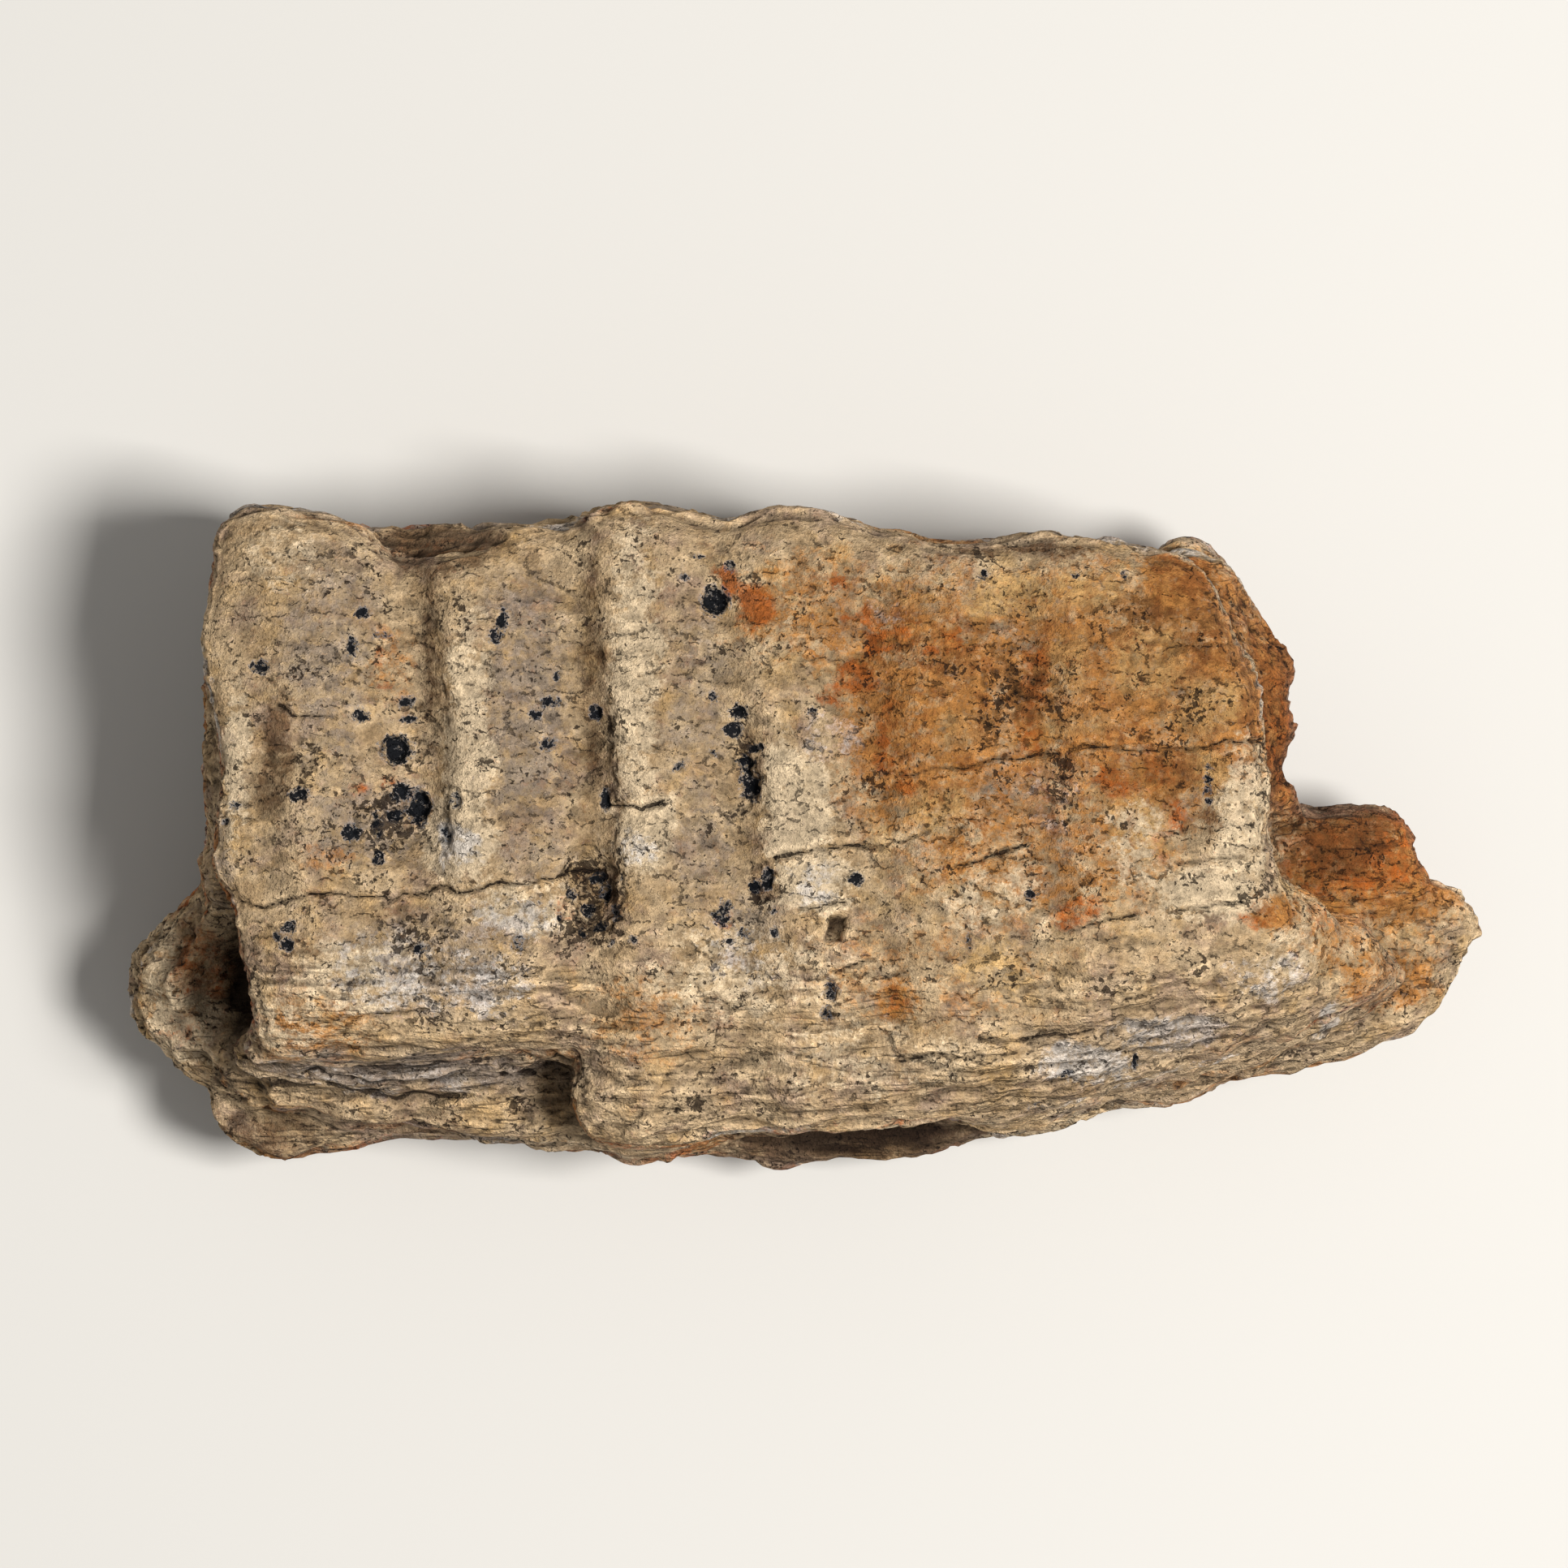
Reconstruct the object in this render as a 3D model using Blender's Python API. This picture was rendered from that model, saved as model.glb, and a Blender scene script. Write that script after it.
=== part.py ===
# A piece of fossil upper jaw (maxilla) of edmontosaurus, lying on its back with the tooth grooves up.
# +X runs along the jaw, +Y across it towards its thin edge, and +Z is up.
# The origin is on the surface that the bone rests on, under the middle of its outline.
# All sizes and places in this file are millimetres until the last step turns the bone to metres.
import bmesh
import bpy
import numpy as np
from mathutils import Vector, noise

MM = 0.001

# Driving dimensions
LENGTH = 82.0               # along the jaw: eight and a half tooth rows, 9.3 apart
WIDTH = 40.0                # across the jaw
THICKNESS = 25.5            # from the resting face to the crests of the tooth rows
WALL_FACE = 25.0            # the front of the grooved wall, before its grooves are pressed in
STEP_FACE = 17.5            # the lower step, bottom left
LOBE_FACE = 13.5            # the broken lobe, far left
SHELF_FACE = 15.5           # the rusty shelf, far right
REST_DEPTH = 0.9            # how far the rounded back is worn flat

VOXEL = 0.42                # the grid on which the overlapping slabs grow together
TRIANGLES = 9300            # of the finished solid
SHARP_ANGLE = 0.7           # radians: creases sharper than this stay crisp
EDGE_STEPS = 3              # facets across a rounded slab edge
SOFTEN_FACTOR = 0.5         # how the edges of the fused slabs are softened
SOFTEN_ROUNDS = 3

BONE_COLOUR = (0.45, 0.32, 0.18, 1.0)
BONE_ROUGHNESS = 0.85

# The back of the bone, a little inside the whole outline, clockwise from the top left
BACK = (
    (-34.6, 13.5), (-34.0, 17.0), (-32.6, 18.6), (-28.0, 18.2), (-17.0, 17.4), (-11.0, 18.4), (0.0, 18.2),
    (7.5, 16.6), (17.5, 16.6), (23.0, 16.0), (25.4, 13.2), (27.6, 9.6), (28.2, 3.0), (31.0, 0.6),
    (35.5, -1.4), (38.2, -4.6), (38.4, -7.0), (36.2, -9.8), (31.0, -12.0), (22.0, -14.4), (12.0, -16.8),
    (4.0, -17.6), (-7.0, -17.8), (-15.5, -17.6), (-24.5, -16.4), (-31.0, -17.0), (-34.4, -15.6),
    (-36.6, -13.0), (-38.8, -10.0), (-38.0, -7.0), (-35.3, -3.0), (-34.9, 6.0))

# The grooved wall of the tooth battery
WALL = (
    (-35.4, 12.0), (-35.3, 13.6), (-34.8, 15.6), (-34.8, 18.0), (-34.3, 19.0), (-33.3, 19.8), (-31.5, 19.9),
    (-28.6, 19.4), (-26.6, 18.7), (-25.0, 18.5), (-22.5, 18.9), (-20.0, 18.5), (-17.0, 18.6), (-14.0, 18.8),
    (-12.0, 19.7), (-9.5, 20.0), (-6.5, 19.6), (-5.0, 19.1), (-3.5, 19.1), (-2.0, 19.7), (0.0, 19.8),
    (2.0, 19.3), (4.5, 18.7), (7.5, 17.8), (10.0, 17.7), (13.0, 18.1), (17.5, 17.9), (20.5, 17.4),
    (23.0, 16.8), (24.5, 15.4), (25.0, 13.5), (26.0, 11.5), (27.2, 9.5), (27.4, 7.0), (27.8, 4.8),
    (28.0, 2.5), (27.7, 0.0), (28.2, -2.2), (29.6, -3.8), (29.6, -5.6), (27.5, -6.8), (24.0, -7.8),
    (20.0, -9.6), (17.0, -11.8), (13.5, -13.8), (11.0, -15.8), (8.0, -17.1), (4.0, -17.6), (0.0, -17.5),
    (-4.0, -17.8), (-8.5, -18.9), (-12.0, -18.5), (-13.4, -17.2), (-13.6, -15.5), (-13.0, -13.0),
    (-17.0, -12.7), (-21.0, -13.1), (-26.0, -13.0), (-31.9, -13.1), (-32.1, -12.0), (-32.6, -9.0),
    (-33.1, -7.0), (-33.6, -4.5), (-34.4, -3.0), (-35.0, -1.5), (-34.7, 0.5), (-34.3, 3.0), (-34.5, 6.5),
    (-35.1, 9.0))

# The other slabs that lie under and beside the wall
SIDE_STRIP = (
    (-35.4, 13.0), (-33.0, 13.0), (-33.0, -4.0), (-35.8, -4.0), (-36.2, -1.5), (-35.3, -0.5), (-35.7, 3.0))
LEFT_LOBE = (
    (-36.6, -3.8), (-33.0, -3.8), (-31.0, -13.6), (-35.5, -15.0), (-38.0, -14.4), (-38.3, -13.0),
    (-39.5, -12.9), (-40.5, -11.8), (-41.0, -10.5), (-40.7, -8.5), (-40.2, -6.8), (-38.8, -6.0),
    (-37.6, -4.8))
WALL_FLAKES = ((-33.0, -12.0), (-32.8, -13.7), (-26.0, -13.9), (-19.0, -13.5), (-13.0, -12.9), (-12.0, -11.0))
LOWER_FLAKES = (
    (-33.8, -12.0), (-33.8, -14.2), (-29.0, -15.2), (-22.0, -15.3), (-18.0, -14.3), (-13.0, -13.4),
    (-12.0, -11.0))
LOWER_STEP = (
    (-33.0, -12.0), (-32.2, -16.6), (-29.0, -17.0), (-28.0, -18.2), (-25.4, -17.9), (-24.4, -17.5),
    (-21.0, -17.8), (-17.0, -18.5), (-15.5, -19.1), (-13.5, -19.1), (-10.0, -18.0), (-10.0, -12.0))
BULGE_UNDERLAYER = (
    (-16.5, -15.0), (-16.0, -18.9), (-13.5, -19.1), (-11.5, -19.8), (-10.3, -20.1), (-8.5, -19.8),
    (-7.0, -19.4), (-3.0, -18.6), (0.0, -17.9), (0.0, -14.0))
BROWN_LOBE = (
    (-35.6, -13.5), (-35.4, -15.2), (-35.8, -17.4), (-34.9, -18.7), (-33.0, -19.5), (-31.0, -19.7),
    (-28.0, -19.3), (-24.0, -18.4), (-17.0, -18.6), (-17.0, -14.0))
UNDER_LOBE = (
    (-9.0, -15.0), (-8.0, -19.4), (-4.0, -20.0), (-1.0, -20.3), (2.0, -20.6), (6.0, -20.6), (9.0, -20.0),
    (11.6, -19.2), (14.5, -18.4), (14.0, -14.0))
RIGHT_SHELF = (
    (16.0, 3.0), (29.5, 3.8), (30.4, 2.4), (33.2, 2.2), (35.4, 1.6), (36.9, 0.4), (38.2, -1.8),
    (39.7, -2.4), (40.8, -3.4), (41.2, -5.2), (41.2, -6.4), (39.8, -7.3), (39.9, -8.2), (38.6, -9.8),
    (38.4, -10.8), (37.2, -11.8), (35.2, -12.8), (31.7, -14.1), (27.7, -15.2), (23.0, -16.0), (20.0, -16.8),
    (16.0, -18.2), (12.0, -18.8), (6.0, -16.5))
RIGHT_BAR = (
    (8.0, -14.0), (10.6, -17.8), (13.0, -17.9), (16.0, -17.3), (21.0, -15.8), (27.0, -14.0), (33.0, -11.8),
    (36.4, -9.6), (37.2, -8.0), (35.6, -6.8), (30.0, -4.6), (24.0, -3.0), (16.0, -5.0))
UPPER_SPLINTERS = (
    (8.0, -12.0), (9.6, -17.2), (13.0, -16.0), (18.0, -13.6), (22.0, -11.8), (26.0, -10.4), (30.8, -8.8),
    (32.0, -5.8), (30.6, -3.6), (22.0, -5.0))
LOWER_SPLINTERS = (
    (8.0, -12.0), (10.4, -17.5), (15.0, -16.7), (20.0, -15.0), (25.0, -13.3), (31.0, -11.4), (35.4, -8.8),
    (34.0, -5.0), (22.0, -5.0))
BROKEN_END = (
    (18.0, 15.5), (21.3, 17.1), (22.4, 18.2), (23.8, 18.1), (25.3, 17.2), (26.6, 16.2), (27.0, 14.0),
    (28.0, 12.3), (29.0, 11.7), (30.0, 9.9), (29.5, 8.3), (30.7, 6.9), (30.3, 5.0), (29.7, 4.3),
    (30.0, 3.0), (30.4, 1.5), (20.0, -2.0))

# Each slab's outline, its lowest and highest level, and how round its top and its bottom edges are
SLABS = (
    (WALL, 9.0, WALL_FACE, 1.3, 1.0),
    (SIDE_STRIP, 6.0, 16.5, 1.2, 1.5),
    (LEFT_LOBE, 4.0, LOBE_FACE, 1.8, 3.5),
    (WALL_FLAKES, 8.0, 22.2, 0.8, 1.0),
    (LOWER_FLAKES, 6.0, 20.0, 0.9, 1.0),
    (LOWER_STEP, 7.0, STEP_FACE, 1.0, 2.0),
    (BULGE_UNDERLAYER, 9.0, 17.5, 1.2, 2.0),
    (BROWN_LOBE, 3.0, 11.5, 1.4, 2.8),
    (UNDER_LOBE, 2.6, 9.0, 1.5, 2.8),
    (RIGHT_SHELF, 5.0, SHELF_FACE, 2.6, 4.0),
    (RIGHT_BAR, 8.0, 20.4, 3.6, 1.0),
    (UPPER_SPLINTERS, 12.0, 24.0, 1.2, 1.0),
    (LOWER_SPLINTERS, 10.0, 22.6, 1.6, 1.0),
    (BROKEN_END, 6.0, 18.5, 2.8, 3.0))

# The valleys between the tooth rows: x, then depth, at each of these levels of y
VALLEY_Y = (-8.0, 2.0, 10.0, 18.0)
VALLEYS = (
    ((-36.6, -36.6, -36.9, -37.4), (0.6, 0.8, 0.6, 0.4)),
    ((-31.6, -31.2, -32.0, -33.4), (0.4, 1.3, 0.9, 0.4)),
    ((-21.8, -21.5, -22.1, -23.0), (0.5, 2.4, 2.2, 1.7)),
    ((-12.0, -11.8, -12.3, -13.4), (0.9, 2.4, 2.4, 1.5)),
    ((-2.4, -2.9, -4.0, -4.6), (0.8, 1.8, 1.1, 0.6)),
    ((5.4, 5.3, 5.0, 4.8), (0.4, 1.0, 0.9, 0.4)),
    ((15.0, 15.0, 14.4, 14.0), (0.4, 1.1, 1.0, 0.4)),
    ((23.4, 23.6, 23.0, 22.4), (0.3, 1.1, 0.5, 0.3)),
    ((32.0, 32.0, 32.0, 32.0), (0.6, 0.6, 0.6, 0.6)))
CREST_SHARE = 0.15          # how soon the wall climbs from a valley to its crest, as a share of the row
FALL_POWER = 1.6            # the slow fall from the crest to the next valley

# How the wall curves back from each of these lines towards its edges, per square millimetre
TOP_LINE, TOP_CURVE = 4.0, 0.0090
FOOT_LINE, FOOT_CURVE = -2.0, 0.0070
RIGHT_LINE, RIGHT_CURVE = 10.0, 0.0080
LEFT_LINE, LEFT_CURVE = -31.0, 0.0300

# The back narrows downwards from its full outline, most of all towards the thin edge of the jaw
BACK_TOP, BACK_BOTTOM = 15.0, 0.0
BACK_RINGS = 7
END_SHRINK = 0.30
THIN_EDGE_SHRINK = 0.62
FOOT_EDGE_SHRINK = 0.30
KEEL_LINE = -3.0            # the back is lowest along this y, and curves up from there
KEEL_HEIGHT = 8.0           # the curve fades out this far up
KEEL_CURVE_X, KEEL_CURVE_Y = 0.0025, 0.0085

# Hollows pressed into the surface: place, reach along X, Y and Z, and depth
HOLLOWS = {
    "pocket beside the wall": ((-35.0, -9.0, 13.0), (3.8, 6.8, 4.0), 2.4),
    "slit in the pocket": ((-33.7, -8.8, 12.5), (1.9, 5.6, 4.5), 4.4),
    "chip in the top edge": ((-21.8, 19.0, WALL_FACE), (4.8, 3.0, 4.5), 4.2),
    "round hole": ((-24.3, 5.3, WALL_FACE), (1.1, 1.1, 2.5), 1.5),
    "twin holes": ((-23.2, 1.9, WALL_FACE), (1.5, 1.3, 2.5), 1.5),
    "broken floor by the twin holes": ((-24.4, -0.2, WALL_FACE), (3.2, 2.2, 3.0), 0.7),
    "pit by the rust": ((-5.4, 14.2, WALL_FACE), (1.1, 1.0, 2.5), 1.3),
    "spongy patch": ((-12.4, -3.4, WALL_FACE), (2.0, 3.0, 2.6), 1.2),
    "pit in the fourth valley": ((-3.4, 3.6, WALL_FACE), (0.9, 2.2, 2.5), 1.2),
    "slot under the bulge": ((6.0, -18.2, 12.5), (6.5, 2.6, 2.6), 2.0),
    "cave by the splinters": ((13.5, -16.6, 14.0), (2.0, 1.8, 2.4), 1.8),
    "hollow in the thin edge": ((8.0, 19.4, 16.0), (9.0, 3.0, 3.0), 1.6),
    "hollow in the left end": ((-37.5, 4.0, 11.0), (3.4, 7.0, 3.6), 1.8),
    "hollow in the right end": ((29.5, 9.0, 11.0), (3.4, 5.0, 3.0), 1.6),
    "trough along the back": ((-8.0, 9.0, 2.5), (24.0, 3.4, 5.0), 1.3),
    "scar on the back": ((21.0, -8.0, 2.5), (8.0, 3.4, 4.0), 1.3)}

# The long crack across the lower wall
MAIN_CRACK = (
    (-34.1, -3.9), (-31.0, -4.1), (-29.0, -3.5), (-25.0, -3.6), (-22.4, -3.0), (-19.0, -2.9), (-15.5, -2.5),
    (-12.5, -2.0))
CRACK_WIDTH = 0.55
CRACK_DEPTH = 0.8

# Where those take hold: each fades in from the first of its two values to the second
HOLLOW_SHARE = (1.0, 0.35)  # of a hollow's reach
WALL_LEVELS = (7.0, 19.0)
CRACK_LEVELS = (18.0, 20.0)
SIDE_LEVELS = (19.5, 14.0)
SIDE_TURN = (0.8, 0.3)      # how far a face's normal still points up or down

# Weathering: broad wear of the broken sides, and lumps all over
SIDE_WEAR_SIZE = 7.0
SIDE_WEAR_DEPTH = 2.2
SIDE_WEAR_SHARE = 0.12
LUMP_SIZE = 2.6
LUMP_HEIGHT = 0.8
LUMP_DETAIL = 3


def clear_scene():
    for item in list(bpy.data.objects):
        bpy.data.objects.remove(item, do_unlink=True)


def ease(values, low, high):
    """0 at low and before it, 1 at high and past it, and a smooth change between them."""
    share = np.clip((values - low) / (high - low), 0.0, 1.0)
    return share * share * (3.0 - 2.0 * share)


def round_cap(bm, face, radius, direction):
    """Rounds a flat cap with a few insets that follow a quarter circle."""
    for step in range(EDGE_STEPS):
        start, end = (np.pi / 2 * (step + turn) / EDGE_STEPS for turn in (0, 1))
        inward = radius * (np.cos(start) - np.cos(end))
        onward = radius * (np.sin(end) - np.sin(start))
        bmesh.ops.inset_region(bm, faces=[face], thickness=inward, depth=0.0, use_even_offset=False)
        bmesh.ops.translate(bm, verts=face.verts, vec=(0.0, 0.0, direction * onward))


def add_slab(bm, outline, low, high, top_round, bottom_round):
    """A closed slab with an upright side and rounded caps."""
    bottom = bm.faces.new([bm.verts.new((x, y, low + bottom_round)) for x, y in outline])
    extruded = bmesh.ops.extrude_face_region(bm, geom=[bottom], use_keep_orig=True)["geom"]
    top = next(item for item in extruded if isinstance(item, bmesh.types.BMFace))
    side_height = high - top_round - low - bottom_round
    bmesh.ops.translate(bm, verts=top.verts, vec=(0.0, 0.0, side_height))
    round_cap(bm, top, top_round, 1.0)
    round_cap(bm, bottom, bottom_round, -1.0)


def add_back(bm):
    """The dense back of the bone: rings that shrink down to the resting face, with rounded flanks."""
    rings = []
    for ring in range(BACK_RINGS):
        turn = np.pi / 2 * ring / (BACK_RINGS - 1)
        shrink = 1.0 - np.cos(turn)
        z = BACK_TOP + (BACK_BOTTOM - BACK_TOP) * np.sin(turn)
        across = {True: 1.0 - THIN_EDGE_SHRINK * shrink, False: 1.0 - FOOT_EDGE_SHRINK * shrink}
        along = 1.0 - END_SHRINK * shrink
        rings.append([bm.verts.new((x * along, y * across[y > 0.0], z)) for x, y in BACK])
    for upper, lower in zip(rings, rings[1:]):
        for a, b, c, d in zip(upper, upper[1:] + upper[:1], lower[1:] + lower[:1], lower):
            bm.faces.new((a, b, c, d))
    bm.faces.new(rings[0])
    bm.faces.new(rings[-1][::-1])


def bake_modifiers(bone):
    """Replaces the object's mesh by what its modifiers make of it."""
    graph = bpy.context.evaluated_depsgraph_get()
    baked = bpy.data.meshes.new_from_object(bone.evaluated_get(graph))
    bone.modifiers.clear()
    rough_mesh = bone.data
    bone.data = baked
    bpy.data.meshes.remove(rough_mesh)


def drop_crumbs(bone):
    """Keeps the one large body and deletes any crumb that came loose from it."""
    bm = bmesh.new()
    bm.from_mesh(bone.data)
    loose = set(bm.verts)
    bodies = []
    while loose:
        front = [next(iter(loose))]
        body = set(front)
        while front:
            vert = front.pop()
            joined = {edge.other_vert(vert) for edge in vert.link_edges} - body
            body |= joined
            front.extend(joined)
        loose -= body
        bodies.append(body)
    bodies.sort(key=len)
    crumbs = [vert for body in bodies[:-1] for vert in body]
    bmesh.ops.delete(bm, geom=crumbs, context="VERTS")
    bm.to_mesh(bone.data)
    bm.free()


def fused_slabs():
    """All the slabs as one object, grown together on a fine grid."""
    bm = bmesh.new()
    for slab in SLABS:
        add_slab(bm, *slab)
    add_back(bm)
    bmesh.ops.recalc_face_normals(bm, faces=bm.faces)
    mesh = bpy.data.meshes.new("maxilla")
    bm.to_mesh(mesh)
    bm.free()
    bone = bpy.data.objects.new("maxilla", mesh)
    bpy.context.scene.collection.objects.link(bone)
    grow_together(bone)
    soften = bone.modifiers.new("softened edges", "SMOOTH")
    soften.factor = SOFTEN_FACTOR
    soften.iterations = SOFTEN_ROUNDS
    bake_modifiers(bone)
    return bone


def grow_together(bone):
    """Turns whatever overlaps into one skin."""
    grid = bone.modifiers.new("grown together", "REMESH")
    grid.mode = "VOXEL"
    grid.voxel_size = VOXEL


def read_points(values, name):
    """The places or normals of a mesh as rows of x, y and z."""
    flat = np.empty(len(values) * 3)
    values.foreach_get(name, flat)
    return flat.reshape(-1, 3)


def tooth_rows(x, y):
    """How far the wall lies under its crests: a steep climb out of each valley, then a slow fall."""
    lines = [np.interp(y, VALLEY_Y, places) for places, _ in VALLEYS]
    depths = [np.interp(y, VALLEY_Y, values) for _, values in VALLEYS]
    drop = np.zeros_like(x)
    for left, right, left_depth, right_depth in zip(lines, lines[1:], depths, depths[1:]):
        share = (x - left) / (right - left)
        climb = ease(share, 0.0, CREST_SHARE)
        fall = np.clip((share - CREST_SHARE) / (1.0 - CREST_SHARE), 0.0, 1.0) ** FALL_POWER
        row = left_depth * (1.0 - climb) + right_depth * fall
        drop = np.where((share >= 0.0) & (share < 1.0), row, drop)
    return drop


def wall_slope(x, y):
    """How far the wall leans back towards its four edges."""
    top = TOP_CURVE * np.clip(y - TOP_LINE, 0.0, None) ** 2
    foot = FOOT_CURVE * np.clip(FOOT_LINE - y, 0.0, None) ** 2
    right = RIGHT_CURVE * np.clip(x - RIGHT_LINE, 0.0, None) ** 2
    left = LEFT_CURVE * np.clip(LEFT_LINE - x, 0.0, None) ** 2
    return top + foot + right + left


def distance_to_line(x, y, line):
    """Distance of each point to a line of straight runs."""
    nearest = np.full_like(x, np.inf)
    for (x0, y0), (x1, y1) in zip(line, line[1:]):
        run_x, run_y = x1 - x0, y1 - y0
        share = ((x - x0) * run_x + (y - y0) * run_y) / (run_x ** 2 + run_y ** 2)
        share = np.clip(share, 0.0, 1.0)
        nearest = np.minimum(nearest, np.hypot(x - x0 - share * run_x, y - y0 - share * run_y))
    return nearest


def carve(bone):
    """Shapes the fused slabs: tooth rows, slopes, hollows, the long crack and the curved back."""
    points = read_points(bone.data.vertices, "co")
    normals = read_points(bone.data.vertex_normals, "vector")
    x, y, z = points.T.copy()
    dent = np.zeros_like(x)
    for (cx, cy, cz), (rx, ry, rz), depth in HOLLOWS.values():
        far = np.sqrt(((x - cx) / rx) ** 2 + ((y - cy) / ry) ** 2 + ((z - cz) / rz) ** 2)
        dent = np.maximum(dent, depth * ease(far, *HOLLOW_SHARE))
    wear = np.array([noise.noise(Vector(place) / SIDE_WEAR_SIZE) for place in points])
    on_side = ease(np.abs(normals[:, 2]), *SIDE_TURN) * ease(z, *SIDE_LEVELS)
    dent += on_side * SIDE_WEAR_DEPTH * np.clip(wear + SIDE_WEAR_SHARE, 0.0, None)
    crack = 1.0 - distance_to_line(x, y, MAIN_CRACK) / CRACK_WIDTH
    drop = ease(z, *WALL_LEVELS) * (tooth_rows(x, y) + wall_slope(x, y))
    drop += ease(z, *CRACK_LEVELS) * CRACK_DEPTH * np.clip(crack, 0.0, 1.0)
    points -= normals * dent[:, None]
    keel = KEEL_CURVE_X * x ** 2 + KEEL_CURVE_Y * (y - KEEL_LINE) ** 2
    points[:, 2] += ease(z, KEEL_HEIGHT, 0.0) * keel - drop
    bone.data.vertices.foreach_set("co", points.ravel())
    bone.data.update()


def roughen(bone):
    """Weathered lumps all over, then fewer faces where the surface is plain."""
    grow_together(bone)
    bake_modifiers(bone)
    drop_crumbs(bone)
    lumps = bpy.data.textures.new("lumps", "CLOUDS")
    lumps.noise_scale = LUMP_SIZE
    lumps.noise_depth = LUMP_DETAIL
    weather = bone.modifiers.new("weathering", "DISPLACE")
    weather.texture = lumps
    weather.texture_coords = "LOCAL"
    weather.strength = LUMP_HEIGHT
    thin = bone.modifiers.new("fewer faces", "DECIMATE")
    thin.ratio = TRIANGLES / (2.0 * len(bone.data.polygons))
    bake_modifiers(bone)
    drop_crumbs(bone)


def wear_flat(bone):
    """Cuts the worn face that the bone rests on, and brings it to its real size in metres."""
    points = read_points(bone.data.vertices, "co")
    low, high = points.min(axis=0), points.max(axis=0)
    rest = low[2] + REST_DEPTH
    size = np.array((high[0] - low[0], high[1] - low[1], high[2] - rest))
    points -= ((low[0] + high[0]) / 2, (low[1] + high[1]) / 2, rest)
    points *= np.array((LENGTH, WIDTH, THICKNESS)) / size * MM
    bone.data.vertices.foreach_set("co", points.ravel())
    bm = bmesh.new()
    bm.from_mesh(bone.data)
    everything = bm.verts[:] + bm.edges[:] + bm.faces[:]
    cut = bmesh.ops.bisect_plane(bm, geom=everything, plane_no=(0.0, 0.0, 1.0), clear_inner=True)["geom_cut"]
    rim = [item for item in cut if isinstance(item, bmesh.types.BMEdge)]
    bmesh.ops.triangle_fill(bm, edges=rim, use_beauty=True)
    bmesh.ops.recalc_face_normals(bm, faces=bm.faces)
    bm.to_mesh(bone.data)
    bm.free()


def bone_material():
    """Weathered fossil bone: tan, dry and dull."""
    material = bpy.data.materials.new("fossil bone")
    material.use_nodes = True
    shader = material.node_tree.nodes["Principled BSDF"]
    shader.inputs["Base Color"].default_value = BONE_COLOUR
    shader.inputs["Roughness"].default_value = BONE_ROUGHNESS
    shader.inputs["Metallic"].default_value = 0.0
    return material


clear_scene()
maxilla = fused_slabs()
carve(maxilla)
roughen(maxilla)
wear_flat(maxilla)
maxilla.data.materials.append(bone_material())
maxilla.data.shade_smooth()
maxilla.data.set_sharp_from_angle(angle=SHARP_ANGLE)
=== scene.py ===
# A weathered fossil upper jaw (maxilla) of edmontosaurus, lying on a pale table and seen from above
import functools
import itertools

import bmesh
import bpy
import numpy as np
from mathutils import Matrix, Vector


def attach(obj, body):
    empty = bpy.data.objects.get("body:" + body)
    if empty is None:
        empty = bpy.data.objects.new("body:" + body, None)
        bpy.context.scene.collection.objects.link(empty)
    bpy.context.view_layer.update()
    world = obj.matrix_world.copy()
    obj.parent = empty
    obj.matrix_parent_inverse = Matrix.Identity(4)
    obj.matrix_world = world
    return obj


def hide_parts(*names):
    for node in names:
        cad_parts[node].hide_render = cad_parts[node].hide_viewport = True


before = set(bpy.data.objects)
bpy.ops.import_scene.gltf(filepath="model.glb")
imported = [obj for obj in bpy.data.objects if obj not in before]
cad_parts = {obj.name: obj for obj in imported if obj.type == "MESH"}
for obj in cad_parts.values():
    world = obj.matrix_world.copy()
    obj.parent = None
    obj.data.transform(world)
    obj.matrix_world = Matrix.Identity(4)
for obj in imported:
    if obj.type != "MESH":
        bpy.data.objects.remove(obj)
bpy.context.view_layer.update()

mm = 0.001

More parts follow.
